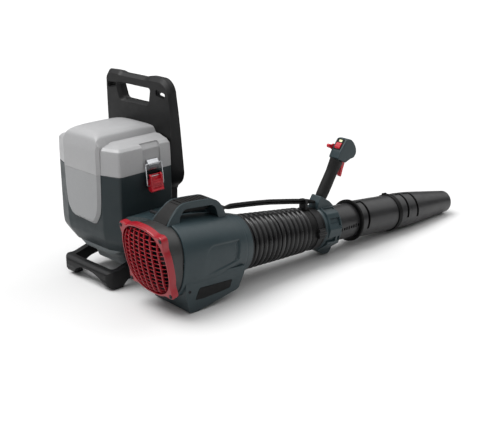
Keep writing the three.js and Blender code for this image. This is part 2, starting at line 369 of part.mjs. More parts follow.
// ---- saddle bracket between case wall and blower
{
  const w = prism(fillet([[CASE_HW + GAP, 116], [CASE_HW + GAP, 196], [146, 203], [196, 213], [238, 216], [238, 96], [150, 96]], [0, 0, 6, 0, 0, 0, 10], 1), 18, 150, 'y');
  const env = envelope(GAP).clone().applyMatrix4(BLOWER);
  const foot = loft([[50, 34, -8, 60], [90, 34, -8, 60]].map(([z, hw, y0, y1]) => [[-hw, y0, z], [hw, y0, z], [hw, y1, z], [-hw, y1, z]]), rect(0, 1, 0, 1)).applyMatrix4(BLOWER);
  let g = cut(w, env, foot, box(100, 400, 0, 200, 60, 118));
  node('mount_bracket', g, SLATE);
  node('lock_pin', spin(join(rod(4, -12, 12, 10), rod(6, -15, -9, 10)), 'z', 90).translate(-54, 26, 95), STEEL, BLOWER);
}
// ---- drive: rotor, motor, stator
{
  let r = revolve([[0, 20], [18, 21], [28, 27], [HUB_R, 36], [HUB_R, 56], [4, 56], [4, 66], [0, 66]], 20);
  for (let i = 0; i < 9; i++) {
    const sec = (rad, ang, c, t) => { const a = ang * deg, ca = Math.cos(a), sa = Math.sin(a); return [[-c, -t], [c, -t], [c, t], [-c, t]].map(([u, v]) => [u * ca - v * sa, 42 + u * sa + v * ca, rad]); };
    const blade = loft([sec(HUB_R - 3, 52, 12, 1.6), sec(54, 40, 15, 1.4), sec(FAN_R, 28, 17, 1)], rect(0, 1, 0, 1));
    r = join(r, spin(blade, 'y', i * 40));
  }
  node('fan_rotor', r, BLACK, BLOWER);
  node('motor', cut(revolve([[0, 58], [24, 58], [30, 62], [30, 128], [22, 140], [0, 146]], 16), rod(4.4, 50, 68, 12)), COPPER, BLOWER);
  let s = join(pipe(82, 79.6, 62, 132, 24), revolve([[30.5, 62], [33, 62], [33, 132], [30.5, 132]], 16));
  for (let i = 0; i < 7; i++) s = join(s, spin(box(-1.3, 1.3, 72, 126, 31.5, 80.5), 'y', i * 360 / 7 + 8));
  node('stator', s, BLACK, BLOWER);
  node('outlet_collar', revolve([[66, 222], [70.7, 222], [70.7, 238.3], [74, 238.6], [74, 242.7], [66, 242.7]], 24), BLACK, BLOWER);
}
// ================================================================== hose
const hoseR = (y) => HOSE_R0 + (HOSE_R1 - HOSE_R0) * (y - HOSE_Y0) / (HOSE_Y1 - HOSE_Y0);
function bellows(y0, y1, first, count, pitch) {
  const out = [[hoseR(y0) - 7, y0]];
  for (let k = 0; k < count; k++) {
    const c = first + k * pitch;
    out.push([hoseR(c) - 7.5, c - pitch * 0.42], [hoseR(c), c - pitch * 0.14], [hoseR(c), c + pitch * 0.14]);
  }
  out.push([hoseR(y1) - 7, y1]);
  const inn = [[hoseR(y1) - 10.5, y1], [hoseR(y0) - 10.5, y0]];
  return revolve(out.concat(inn), 20);
}
const PITCH = 17.1;
node('bellows_rear', bellows(HOSE_Y0, HOSE_MID - 9, 254.6, 6, PITCH * 0.985), RUBBER, BLOWER);
node('bellows_ring', revolve([[hoseR(HOSE_MID) - 10.5, HOSE_MID - 9 + GAP], [hoseR(HOSE_MID) - 7, HOSE_MID - 9 + GAP], [hoseR(HOSE_MID), HOSE_MID - 3], [hoseR(HOSE_MID), HOSE_MID + 3], [hoseR(HOSE_MID) - 7, HOSE_MID + 9 - GAP], [hoseR(HOSE_MID) - 10.5, HOSE_MID + 9 - GAP]], 20), RUBBER, BLOWER);
node('bellows_front', bellows(HOSE_MID + 9, HOSE_Y1, 369.8, 6, PITCH * 0.985), RUBBER, BLOWER);
node('hose_cuff', revolve([[TUBE_IN_R + GAP, HOSE_Y1 + GAP], [55, HOSE_Y1 + GAP], [57, 470], [57, 512], [TUBE_IN_R + GAP, 512]], 24), RUBBER, BLOWER);
{
  let b = pipe(59, 57 + GAP, 484, 500, 24);
  b = join(b, cut(spin(box(56, 66, 481, 503, -13, 13), 'y', 5), rod(57 + GAP, 470, 512, 24)));
  b = join(b, spin(move(rod(4, 478, 507, 10), 64, 0, 0), 'y', 5));
  node('cuff_strap', b, BLACK, BLOWER);
}
// ================================================================== control handle
const gp = (u, v) => [GRIP0[0] + GRIP_DIR[0] * u + GRIP_DIR[1] * v, GRIP0[1] + GRIP_DIR[1] * u - GRIP_DIR[0] * v];   // along, across the grip
{
  let g = revolve([[TUBE_IN_R + GAP, CLAMP_Y0], [56, CLAMP_Y0], [58.5, CLAMP_Y0 + 4], [58.5, CLAMP_Y1 - 4], [56, CLAMP_Y1], [TUBE_IN_R + GAP, CLAMP_Y1]], 24);
  const bore = rod(TUBE_IN_R + GAP, 400, 700, 24);
  const [a0, a1] = [gp(-GAP, -18.5), gp(-GAP, 21)];
  g = join(g, cut(prism(fillet([[514, 40], [577, 40], [577, 58], a1, a0, [514, 72]], [0, 0, 8, 3, 4, 4], 1), -18, 18, 'x'), bore));
  g = join(g, cut(prism(fillet([[517, -40], [519, -57], [540, -71], [557, -79], [579, -79], [589, -62], [577, -40]], [0, 4, 4, 4, 6, 6, 0], 1), -14, 14, 'x'), bore));
  for (const a of [30, 68, 106, 214, 252, 290, 328]) g = join(g, cut(spin(box(56, 61, CLAMP_Y0 + 10, CLAMP_Y1 - 6, -5, 5), 'y', -a), bore));
  node('handle_clamp', g, SLATE, BLOWER);
  const el = (u, rx, ry) => Array.from({ length: 16 }, (_, i) => { const t = i / 16 * 2 * Math.PI, p = gp(u, ry * Math.sin(t)); return [rx * Math.cos(t), p[0], p[1]]; });
  node('control_grip', loft([el(0, 14, 16.5), el(8, 15, 17.5), el(40, 15.5, 18), el(75, 15, 17), el(100, 15, 17), el(GRIP_L, 14, 16)], sq(1, 2, 16)), RUBBER, BLOWER);
  // head
  const h0 = gp(GRIP_L + GAP, -17.5), h1 = gp(GRIP_L + 4, 19);
  const headYZ = fillet([h0, h1, [628, 182], [641, 184], [649, 194], [649, 207], [640, 224], [625, 237], [605, 238], [584, 206]], [5, 0, 5, 4, 4, 4, 4, 4, 3, 4], 1);
  let h = prism(headYZ, -17.5, 17.5, 'x');
  h = cut(h, box(-6.4, 6.4, 596, 624, 150, 190));
  const bn = [-0.836, 0.5487], bc = [592.5, 218.9];   // outward normal and centre of the sloped button face
  const bp = (t, d) => [bc[0] + bn[1] * t + bn[0] * d, bc[1] - bn[0] * t + bn[1] * d];
  h = cut(h, prism([bp(-9.5, -6), bp(9.5, -6), bp(9.5, 8), bp(-9.5, 8)], -9.4, 9.4, 'x'));
  h = cut(h, prism([bp(11.2, -3), bp(18.8, -3), bp(18.8, 8), bp(11.2, 8)], -5.8, 5.8, 'x'));
  node('control_head', h, SLATE, BLOWER);
  node('power_button', prism(fillet([bp(-9, -4), bp(9, -4), bp(9, 2.4), bp(5, 3.6), bp(-5, 3.6), bp(-9, 2.4)], 1, 1), -9, 9, 'x'), RED, BLOWER);
  node('led_lens', prism([bp(11.5, -2.7), bp(18.5, -2.7), bp(18.5, 0.2), bp(17.7, 0.8), bp(12.3, 0.8), bp(11.5, 0.2)], -5.5, 5.5, 'x'), LENS, BLOWER);
  let t = prism(fillet([[607, 184], [618, 184], [618.5, 168], [613, 151], [610, 135], [607.5, 132], [603.5, 135], [604.5, 151], [606.8, 166]], 3, 1), -5.8, 5.8, 'x');
  node('trigger', t, RED, BLOWER);
  let sl = spin(rod(8.5, 17.5 + GAP, 22, 16), 'z', 90).translate(0, SPEED.y, SPEED.z);
  sl = join(sl, prism(fillet([[592, 206], [594, 217], [581, 220.5], [575.5, 220], [575, 213], [580, 210]], 2, 1), -27, -18, 'x'));
  node('speed_lever', sl, RED, BLOWER);
}
// ================================================================== tubes
{
  let t = pipe(TUBE_IN_R, 46.1, HOSE_Y1 + 8, 748, 24);
  node('inner_tube', t, BLACK, BLOWER);
  let o = revolve([[49, FLANGE_Y], [57, FLANGE_Y], [58, FLANGE_Y + 3], [58, FLANGE_Y + 6], [TUBE_OUT_R, FLANGE_Y + 10], [51, OUT_Y1], [51, ADAPT_Y0 - GAP], [49, ADAPT_Y0 - GAP]], 24);
  node('outer_tube', o, BLACK, BLOWER);
  node('seal_ring', join(pipe(53, 51 + GAP, OUT_Y1 - 3, ADAPT_Y0 - 5, 24), prism(fillet([[826.5, 52], [826.5, 56.5], [829, 57.6], [834, 57.6], [836.5, 55.5], [836.5, 52]], [0, 1, 1, 1, 1, 0], 1), -6, 6, 'x')), RUBBER, BLOWER);
  let a = revolve([[46.2, 814], [48.1, 814], [48.1, ADAPT_Y0], [51.2, ADAPT_Y0], [52, 860], [51.8, 878], [51.1, 879], [51.1, 881], [51.5, 882], [50, ADAPT_Y1], [46.2, ADAPT_Y1]], 24);
  node('nozzle_adapter', a, BLACK, BLOWER);
  node('nozzle_cone', revolve([[46.2, ADAPT_Y1 + GAP], [49.9, ADAPT_Y1 + GAP], [47.2, 948], [NOZZLE_R, NOZZLE_Y1 - 2], [NOZZLE_R - 1, NOZZLE_Y1], [NOZZLE_R - 3, NOZZLE_Y1 - 1]], 24), BLACK, BLOWER);
}
// ================================================================== control cable, clipped between carry handle and control handle
{
  const path = [[190.6, 98], [218, 98.4], [250, 97.6], [285, 96.2], [320, 94.4], [351.7, 92.2], [352.3, 92.2], [385, 88.8], [420, 85], [455, 80.8], [485, 76.6], [513.2, 73]];
  // twin lead: two round leads side by side in one figure-eight section
  const sec8 = []; for (const [cx, a0] of [[4.2, -130], [-4.2, 50]]) for (let k = 0; k < 7; k++) { const t = (a0 + k * 260 / 6) * deg; sec8.push([cx + 3.8 * Math.cos(t), 3.8 * Math.sin(t)]); }
  const run = (pts) => {
    const rings = pts.map(([y, z], i) => {
      const A = pts[Math.max(0, i - 1)], B = pts[Math.min(pts.length - 1, i + 1)], L = Math.hypot(B[0] - A[0], B[1] - A[1]), ty = (B[0] - A[0]) / L, tz = (B[1] - A[1]) / L;
      return sec8.map(([c, s]) => [c, y - tz * s, z + ty * s]);
    });
    return loft(rings, sec8);
  };
  node('cable_rear', run(path.slice(0, 6)), RUBBER, BLOWER);
  node('cable_front', run(path.slice(6)), RUBBER, BLOWER);
  let clip = prism(fillet([[-12, 57.5], [12, 57.5], [12, 83], [9, 85], [-9, 85], [-12, 83]], [0, 0, 2, 2, 2, 2], 1), 473, 481, 'y');
  const slotY = [[465, 79.4], [485, 76.6], [490, 75.96]];
  const pass = (x) => { const rings = slotY.map(([y, z]) => Array.from({ length: 10 }, (_, k) => { const t = k / 10 * 2 * Math.PI; return [x + 4.25 * Math.cos(t), y, z + 4.25 * Math.sin(t)]; })); return loft(rings, sq(1, 2, 10)); };
  clip = cut(clip, pass(-4.2), pass(4.2), prism(rect(-4, 4, 73.6, 82), 465, 490, 'y'), rod(57 + GAP, 450, 500, 24));
  node('cable_clip', clip, BLACK, BLOWER);
  node('cable_gland', cut(prism(fillet([[-11, 91], [11, 91], [11, 106], [-11, 106]], 4, 2), 166, 190.3, 'y'), prism([[130, 60], [130, 140], [160.4, 124.7], [177.4, 103.1], [192.4, 72.1], [195, 60]], -30, 30, 'x')), BLACK, BLOWER);
}

// ------------------------------------------------------------------ stand on the floor, centred
const all = new THREE.Box3();
for (const m of group.children) { m.geometry.computeBoundingBox(); all.union(m.geometry.boundingBox); }
const shift = [-(all.min.x + all.max.x) / 2, -(all.min.y + all.max.y) / 2, -all.min.z];
for (const m of group.children) m.geometry.translate(...shift);
group.name = 'backpack_leaf_blower';
export default group;
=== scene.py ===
# Battery backpack leaf blower: the visual model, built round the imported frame.
import json
import math

import bmesh
import bpy
import numpy as np
from mathutils import Matrix, Vector

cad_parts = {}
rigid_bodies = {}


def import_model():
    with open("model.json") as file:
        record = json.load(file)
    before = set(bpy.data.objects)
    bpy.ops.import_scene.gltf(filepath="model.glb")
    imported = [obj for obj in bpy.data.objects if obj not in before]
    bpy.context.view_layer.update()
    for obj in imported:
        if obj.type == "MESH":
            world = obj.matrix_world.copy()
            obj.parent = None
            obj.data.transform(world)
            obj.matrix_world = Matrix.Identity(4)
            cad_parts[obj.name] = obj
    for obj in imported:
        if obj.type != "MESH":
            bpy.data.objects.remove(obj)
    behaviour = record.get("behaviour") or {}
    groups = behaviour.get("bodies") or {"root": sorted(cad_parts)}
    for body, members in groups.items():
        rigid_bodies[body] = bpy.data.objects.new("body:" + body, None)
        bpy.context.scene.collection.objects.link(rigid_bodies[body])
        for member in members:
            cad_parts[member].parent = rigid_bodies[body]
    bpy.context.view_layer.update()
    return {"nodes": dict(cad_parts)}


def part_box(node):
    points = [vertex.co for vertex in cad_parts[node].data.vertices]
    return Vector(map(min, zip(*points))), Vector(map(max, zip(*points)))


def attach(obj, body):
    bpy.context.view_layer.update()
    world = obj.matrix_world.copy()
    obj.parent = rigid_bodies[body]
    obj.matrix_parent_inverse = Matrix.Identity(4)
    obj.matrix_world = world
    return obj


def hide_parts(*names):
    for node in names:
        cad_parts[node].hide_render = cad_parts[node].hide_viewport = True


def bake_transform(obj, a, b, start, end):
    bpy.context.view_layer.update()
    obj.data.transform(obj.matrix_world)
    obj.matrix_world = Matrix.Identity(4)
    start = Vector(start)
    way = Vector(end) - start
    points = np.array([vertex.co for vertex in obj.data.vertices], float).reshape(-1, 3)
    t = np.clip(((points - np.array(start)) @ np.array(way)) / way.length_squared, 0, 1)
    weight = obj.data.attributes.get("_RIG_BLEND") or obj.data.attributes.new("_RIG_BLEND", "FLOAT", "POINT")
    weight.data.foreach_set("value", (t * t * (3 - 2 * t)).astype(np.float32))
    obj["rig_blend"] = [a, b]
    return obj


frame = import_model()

SCENE = bpy.context.scene
NODES = frame["nodes"]

# ---------------------------------------------------------------- frames, in millimetres
def tr(x, y, z):
    return Matrix.Translation((x, y, z))


def rot(axis, deg):
    return Matrix.Rotation(math.radians(deg), 4, axis)


_lo, _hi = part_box("lid_hinge_pin")
ORIGIN = (_lo + _hi) / 2 - Vector((-0.1335, 0.086, 0.297))     # the pin's centre is known in the local frame
LOC = Matrix.Translation(ORIGIN) @ Matrix.Scale(0.001, 4)
BLO = LOC @ tr(264.5, 0, 132.8) @ rot("Z", -3.69) @ rot("X", -5.17)
FACE = tr(0, -31, 2) @ rot("X", 15.2)
FAC = BLO @ FACE


def pl(x, y, z):
    return LOC @ Vector((x, y, z))


def pb(x, y, z):
    return BLO @ Vector((x, y, z))


# ---------------------------------------------------------------- camera, at the photograph's viewing angle
def make_camera():
    cam = bpy.data.objects.new("camera", bpy.data.cameras.new("camera"))
    SCENE.collection.objects.link(cam)
    a, e = math.radians(44.66), math.radians(19.21)
    view = Vector((-math.sin(a) * math.cos(e), math.cos(a) * math.cos(e), -math.sin(e)))
    cam.location = pl(1852.6, -1297.6, 950.0)
    cam.rotation_mode = "QUATERNION"
    cam.rotation_quaternion = view.to_track_quat("-Z", "Y")
    cam.data.sensor_width = 36
    cam.data.lens = 936.6 / 500 * 36
    cam.data.clip_start, cam.data.clip_end = 0.05, 100
    SCENE.camera = cam


make_camera()

# ---------------------------------------------------------------- mesh helpers


def new_obj(name, verts, faces, fix=True):
    me = bpy.data.meshes.new(name)
    me.from_pydata([tuple(v) for v in verts], [], [tuple(f) for f in faces])
    ob = bpy.data.objects.new(name, me)
    SCENE.collection.objects.link(ob)
    if fix:
        fix_normals(ob)
    return ob


def fix_normals(ob):
    bm = bmesh.new()
    bm.from_mesh(ob.data)
    bmesh.ops.recalc_face_normals(bm, faces=bm.faces)
    bm.to_mesh(ob.data)
    bm.free()


def bake(ob):
    dg = bpy.context.evaluated_depsgraph_get()
    me = bpy.data.meshes.new_from_object(ob.evaluated_get(dg), preserve_all_data_layers=True, depsgraph=dg)
    old = ob.data
    ob.modifiers.clear()
    ob.data = me
    me.name = ob.name
    bpy.data.meshes.remove(old)
    return ob


def clean(ob, dist=0.02, ang=0.6):
    bm = bmesh.new()
    bm.from_mesh(ob.data)
    bmesh.ops.remove_doubles(bm, verts=bm.verts, dist=dist)
    if ang:
        bmesh.ops.dissolve_limit(bm, angle_limit=math.radians(ang), verts=bm.verts, edges=bm.edges)
    bmesh.ops.recalc_face_normals(bm, faces=bm.faces)
    bm.to_mesh(ob.data)
    bm.free()
    return ob


def boolean(ob, others, op="DIFFERENCE"):
    for o in others:
        n0 = len(ob.data.polygons)
        for solver in ("MANIFOLD", "EXACT"):
            m = ob.modifiers.new("b", "BOOLEAN")
            m.operation, m.solver, m.object = op, solver, o
            dg = bpy.context.evaluated_depsgraph_get()
            me = bpy.data.meshes.new_from_object(ob.evaluated_get(dg), depsgraph=dg)
            ob.modifiers.clear()
            if len(me.polygons) > 0 and not (len(me.polygons) == n0 and solver == "MANIFOLD"):
                break
            if solver == "MANIFOLD":
                bpy.data.meshes.remove(me)
        old = ob.data
        ob.data = me
        bpy.data.meshes.remove(old)
        bpy.data.objects.remove(o, do_unlink=True)
    return ob


def cut(ob, *others):
    return boolean(ob, others, "DIFFERENCE")


def join(ob, *others):
    return boolean(ob, others, "UNION")


def both(ob, *others):
    return boolean(ob, others, "INTERSECT")


def merge(ob, *others):
    """Several closed shells in one object."""
    bm = bmesh.new()
    for o in (ob, *others):
        bm.from_mesh(o.data)
    bm.to_mesh(ob.data)
    bm.free()
    for o in others:
        bpy.data.objects.remove(o, do_unlink=True)
    return ob


def bevel(ob, w, seg=3, ang=28, prof=0.5):
    m = ob.modifiers.new("v", "BEVEL")
    m.width, m.segments, m.profile = w, seg, prof
    m.limit_method, m.angle_limit = "ANGLE", math.radians(ang)
    m.use_clamp_overlap = True
    m.miter_outer = "MITER_ARC"
    return bake(ob)


def shade(ob, ang=34, weighted=True):
    bm = bmesh.new()
    bm.from_mesh(ob.data)
    lim = math.radians(ang)
    for f in bm.faces:
        f.smooth = True
    for e in bm.edges:
        e.smooth = not (len(e.link_faces) == 2 and e.calc_face_angle(0) > lim)
    bm.to_mesh(ob.data)
    bm.free()
    if weighted:
        m = ob.modifiers.new("w", "WEIGHTED_NORMAL")
        m.keep_sharp = True
        m.weight = 60
        bake(ob)
    return ob


def move(ob, matrix):
    ob.data.transform(matrix)
    if matrix.to_3x3().determinant() < 0:
        ob.data.flip_normals()
    return ob


def copy_of(ob, name):
    o = bpy.data.objects.new(name, ob.data.copy())
    SCENE.collection.objects.link(o)
    return o


def from_node(node, to=LOC):
    """A working copy of a CAD node's mesh, welded, in the given frame's millimetres."""
    src = NODES[node]
    o = bpy.data.objects.new(node + "_v", src.data.copy())
    SCENE.collection.objects.link(o)
    o.data.materials.clear()
    o.data.transform(to.inverted())
    for name in [a.name for a in o.data.attributes if a.name not in ("position",) and not a.is_internal and not a.is_required]:
        o.data.attributes.remove(o.data.attributes[name])
    return clean(o, 0.02, 1.0)


def fillet(pts, r, n=6):
    out, m = [], len(pts)
    for i in range(m):
        P, A, B = pts[i], pts[i - 1], pts[(i + 1) % m]
        rr = r[i] if isinstance(r, (list, tuple)) else r
        if not rr:
            out.append((P[0], P[1]))
            continue
        u, v = (A[0] - P[0], A[1] - P[1]), (B[0] - P[0], B[1] - P[1])
        lu, lv = math.hypot(*u), math.hypot(*v)
        d = min(rr, lu * 0.45, lv * 0.45)
        S = (P[0] + u[0] / lu * d, P[1] + u[1] / lu * d)
        E = (P[0] + v[0] / lv * d, P[1] + v[1] / lv * d)
        for k in range(n + 1):
            t = k / n
            out.append(((1 - t) ** 2 * S[0] + 2 * t * (1 - t) * P[0] + t * t * E[0],
                        (1 - t) ** 2 * S[1] + 2 * t * (1 - t) * P[1] + t * t * E[1]))
    return out


def area2(pts):
    return sum(pts[i - 1][0] * pts[i][1] - pts[i][0] * pts[i - 1][1] for i in range(len(pts)))


def inset(pts, d):
    """Every vertex of a closed outline moved inward by d."""
    sign = 1 if area2(pts) > 0 else -1
    out, m = [], len(pts)
    for i in range(m):
        P, A, B = pts[i], pts[i - 1], pts[(i + 1) % m]
        n = []
        for p, q in ((A, P), (P, B)):
            dx, dy = q[0] - p[0], q[1] - p[1]
            L = math.hypot(dx, dy) or 1
            n.append((-dy / L * sign, dx / L * sign))
        bx, by = n[0][0] + n[1][0], n[0][1] + n[1][1]
        L = math.hypot(bx, by) or 1
        k = d / max(0.45, L / 2)
        out.append((P[0] + bx / L * k, P[1] + by / L * k))
    return out


def loft(name, rings, caps=True):
    n = len(rings[0])
    verts = [p for r in rings for p in r]
    faces = []
    for k in range(len(rings) - 1):
        for i in range(n):
            j = (i + 1) % n
            faces.append((k * n + i, k * n + j, (k + 1) * n + j, (k + 1) * n + i))
    if caps:
        L = (len(rings) - 1) * n
        faces.append(tuple(range(n))[::-1])
        faces.append(tuple(L + i for i in range(n)))
    return new_obj(name, verts, faces)


LIFT = {"x": lambda t, p: (t, p[0], p[1]), "y": lambda t, p: (p[0], t, p[1]), "z": lambda t, p: (p[0], p[1], t)}


def prism(name, pts, a, b, axis="z", pts_b=None):
    return loft(name, [[LIFT[axis](a, p) for p in pts], [LIFT[axis](b, p) for p in (pts_b or pts)]])


def rect(x0, x1, y0, y1):
    return [(x0, y0), (x1, y0), (x1, y1), (x0, y1)]


def box(name, x0, x1, y0, y1, z0, z1):
    return prism(name, rect(x0, x1, y0, y1), z0, z1)


def revolve(name, prof, seg=96, axis="y"):
    """Body of revolution; the profile is (radius, y) and closes on itself or starts and ends on the axis."""
    verts, rows, faces = [], [], []
    solid = prof[0][0] < 1e-6
    for r, y in prof:
        if r < 1e-6:
            rows.append([len(verts)])
            verts.append((0, y, 0))
            continue
        row = []
        for i in range(seg):
            t = i / seg * 2 * math.pi
            row.append(len(verts))
            verts.append((r * math.cos(t), y, r * math.sin(t)))
        rows.append(row)
    n = len(prof)
    for k in range(n - 1 if solid else n):
        A, B = rows[k], rows[(k + 1) % n]
        for i in range(seg):
            j = (i + 1) % seg
            if len(A) > 1 and len(B) > 1:
                faces.append((A[i], A[j], B[j], B[i]))
            elif len(A) > 1:
                faces.append((A[i], A[j], B[0]))
            elif len(B) > 1:
                faces.append((A[0], B[j], B[i]))
    return new_obj(name, verts, faces)


def rod(name, r, y0, y1, seg=32):
    return revolve(name, [(0, y0), (r, y0), (r, y1), (0, y1)], seg)


def sector(name, r0, r1, y0, y1, a0, a1, n=48, ends=0.0):
    """Part of a ring about the Y axis, from angle a0 to a1 in degrees."""
    rings = []
    for k in range(n + 1):
        t = math.radians(a0 + (a1 - a0) * k / n)
        c, s = math.cos(t), math.sin(t)
        rings.append([(r0 * c, y0, r0 * s), (r1 * c, y0, r1 * s), (r1 * c, y1, r1 * s), (r0 * c, y1, r0 * s)])
    return loft(name, rings)


def slanted(name, r0, r1, table, n=40, d=0.0):
    """Part of a ring about the Y axis whose two sides follow a table of angle, y0 and y1."""
    A = [t[0] for t in table]
    rings = []
    for k in range(n + 1):
        a = A[0] + (A[-1] - A[0]) * k / n
        y0, y1 = (float(np.interp(a, A, [t[i] for t in table])) for i in (1, 2))
        c, s = math.cos(math.radians(a)), math.sin(math.radians(a))
        rings.append([(r0 * c, y0 + d, r0 * s), (r1 * c, y0 + d, r1 * s), (r1 * c, y1 - d, r1 * s), (r0 * c, y1 - d, r0 * s)])
    return loft(name, rings)


def wire(name, path, r, seg=12, closed=False):
    """Round wire along a list of points."""
    P = [Vector(p) for p in path]
    rings, up = [], None
    for i, p in enumerate(P):
        a = P[i - 1] if (i or closed) else P[0]
        b = P[(i + 1) % len(P)] if (i + 1 < len(P) or closed) else P[-1]
        t = (b - a).normalized()
        if up is None:
            up = Vector((0, 0, 1)) if abs(t.z) < 0.9 else Vector((1, 0, 0))
        x = up.cross(t).normalized()
        up = t.cross(x).normalized()
        rings.append([p + (x * math.cos(u) + up * math.sin(u)) * r for u in [2 * math.pi * k / seg for k in range(seg)]])
    if closed:
        n = seg
        verts = [q for ring in rings for q in ring]
        faces = [(k * n + i, k * n + (i + 1) % n, ((k + 1) % len(rings)) * n + (i + 1) % n, ((k + 1) % len(rings)) * n + i) for k in range(len(rings)) for i in range(n)]
        return new_obj(name, verts, faces)
    return loft(name, rings)


def smooth_path(pts, per=10):
    """Catmull-Rom curve through points of any dimension."""
    P = [np.array(p, float) for p in pts]
    P = [2 * P[0] - P[1]] + P + [2 * P[-1] - P[-2]]
    out = []
    for i in range(1, len(P) - 2):
        for k in range(per):
            t = k / per
            out.append(0.5 * ((2 * P[i]) + (P[i + 1] - P[i - 1]) * t + (2 * P[i - 1] - 5 * P[i] + 4 * P[i + 1] - P[i + 2]) * t * t + (3 * P[i] - P[i - 1] - 3 * P[i + 1] + P[i + 2]) * t ** 3))
    out.append(P[-2])
    return [tuple(p) for p in out]


def rounded_path(pts, r, n=5):
    """A 3-D line with its inner corners rounded."""
    out = [Vector(pts[0])]
    for i in range(1, len(pts) - 1):
        P, A, B = Vector(pts[i]), Vector(pts[i - 1]), Vector(pts[i + 1])
        d = min(r, (A - P).length * 0.45, (B - P).length * 0.45)
        S, E = P + (A - P).normalized() * d, P + (B - P).normalized() * d
        for k in range(n + 1):
            t = k / n
            out.append(S * (1 - t) ** 2 + P * 2 * t * (1 - t) + E * t * t)
    out.append(Vector(pts[-1]))
    return out


# ---------------------------------------------------------------- materials
def lin(r, g, b):
    f = lambda v: (v / 255 / 12.92) if v / 255 <= 0.04045 else ((v / 255 + 0.055) / 1.055) ** 2.4
    return (f(r), f(g), f(b), 1.0)


def scaled(c, k):
    return tuple(min(1.0, max(0.0, v * k)) for v in c[:3]) + (1.0,)


class Nodes:
    def __init__(self, name):
        self.mat = bpy.data.materials.new(name)
        self.mat.use_nodes = True
        self.t = self.mat.node_tree
        self.t.nodes.clear()
        self.out = self.t.nodes.new("ShaderNodeOutputMaterial")
        self.bsdf = self.t.nodes.new("ShaderNodeBsdfPrincipled")
        self.t.links.new(self.bsdf.outputs[0], self.out.inputs[0])
        self.co = self.t.nodes.new("ShaderNodeTexCoord").outputs["Object"]

    def link(self, a, b):
        self.t.links.new(a, b)

    def add(self, kind, **k):
        n = self.t.nodes.new(kind)
        for a, v in k.items():
            setattr(n, a, v)
        return n

    def noise(self, scale, detail=3, rough=0.5, co=None, stretch=None):
        n = self.add("ShaderNodeTexNoise")
        n.inputs["Scale"].default_value = scale
        n.inputs["Detail"].default_value = detail
        n.inputs["Roughness"].default_value = rough
        src = co or self.co
        if stretch:
            m = self.add("ShaderNodeMapping")
            m.inputs["Scale"].default_value = stretch
            self.link(src, m.inputs[0])
            src = m.outputs[0]
        self.link(src, n.inputs["Vector"])
        return n.outputs["Fac"]

    def ramp(self, fac, a, b, ca, cb):
        r = self.add("ShaderNodeMapRange")
        r.inputs["From Min"].default_value, r.inputs["From Max"].default_value = a, b
        r.inputs["To Min"].default_value, r.inputs["To Max"].default_value = ca, cb
        self.link(fac, r.inputs["Value"])
        return r.outputs[0]

    def mul(self, a, b, op="MULTIPLY"):
        m = self.add("ShaderNodeMath", operation=op)
        self.link(a, m.inputs[0])
        if isinstance(b, (int, float)):
            m.inputs[1].default_value = b
        else:
            self.link(b, m.inputs[1])
        return m.outputs[0]

    def mix(self, fac, a, b):
        m = self.add("ShaderNodeMix", data_type="RGBA")
        if isinstance(fac, (int, float)):
            m.inputs[0].default_value = fac
        else:
            self.link(fac, m.inputs[0])
        for i, v in ((6, a), (7, b)):
            if isinstance(v, tuple):
                m.inputs[i].default_value = v
            else:
                self.link(v, m.inputs[i])
        return m.outputs[2]

    def bump(self, height, dist, strength=1.0, prev=None):
        b = self.add("ShaderNodeBump")
        b.inputs["Distance"].default_value = dist
        b.inputs["Strength"].default_value = strength
        self.link(height, b.inputs["Height"])
        if prev is not None:
            self.link(prev, b.inputs["Normal"])
        return b.outputs[0]

    def edges(self, lo, hi):
        g = self.add("ShaderNodeNewGeometry")
        return self.ramp(g.outputs["Pointiness"], lo, hi, 0.0, 1.0)

    def set(self, **k):
        for name, v in k.items():
            self.bsdf.inputs[name.replace("_", " ")].default_value = v
        return self


def plastic(name, rgb, rough=0.45, var=0.08, grain=1100, depth=0.00006, wear=0.25, spec=0.45, coat=0.0, coat_rough=0.2, tint=None, speck=0.0):
    """Moulded plastic: spark-eroded grain, slow colour drift, lighter rubbed edges and painted shade in the recesses.
    """
    n = Nodes(name)
    base = lin(*rgb)
    drift = n.noise(9, 4, 0.55)
    col = n.mix(n.ramp(drift, 0.3, 0.7, 0, 1), scaled(base, 1 - var), scaled(tint or base, 1 + var))
    fine = n.noise(grain * 0.33, 2)
    col = n.mix(n.ramp(fine, 0.35, 0.65, 0.0, 0.16), col, scaled(base, 1.22))
    rub = n.mul(n.edges(0.505, 0.57), n.ramp(n.noise(60, 4, 0.6), 0.35, 0.7, 0.15, 1.0))
    col = n.mix(n.mul(rub, wear), col, scaled(base, 2.1 if sum(rgb) < 250 else 1.25))
    # painted shade: the colour is darkened where the surface is concave
    painted_hollow_shade = n.mul(n.edges(0.495, 0.44), 0.35)
    col = n.mix(painted_hollow_shade, col, scaled(base, 0.55))
    if speck:
        col = n.mix(n.ramp(n.noise(420, 1), 0.66, 0.72, 0, speck), col, scaled(base, 1.9))
    n.link(col, n.bsdf.inputs["Base Color"])
    r = n.ramp(n.noise(38, 5, 0.6), 0.3, 0.7, rough - 0.06, rough + 0.08)
    n.link(r, n.bsdf.inputs["Roughness"])
    b = n.bump(n.noise(grain, 3, 0.6), depth)
    b = n.bump(n.noise(22, 2), 0.0004, 0.25, b)
    n.link(b, n.bsdf.inputs["Normal"])
    n.set(Specular_IOR_Level=spec, Coat_Weight=coat, Coat_Roughness=coat_rough)
    return n.mat


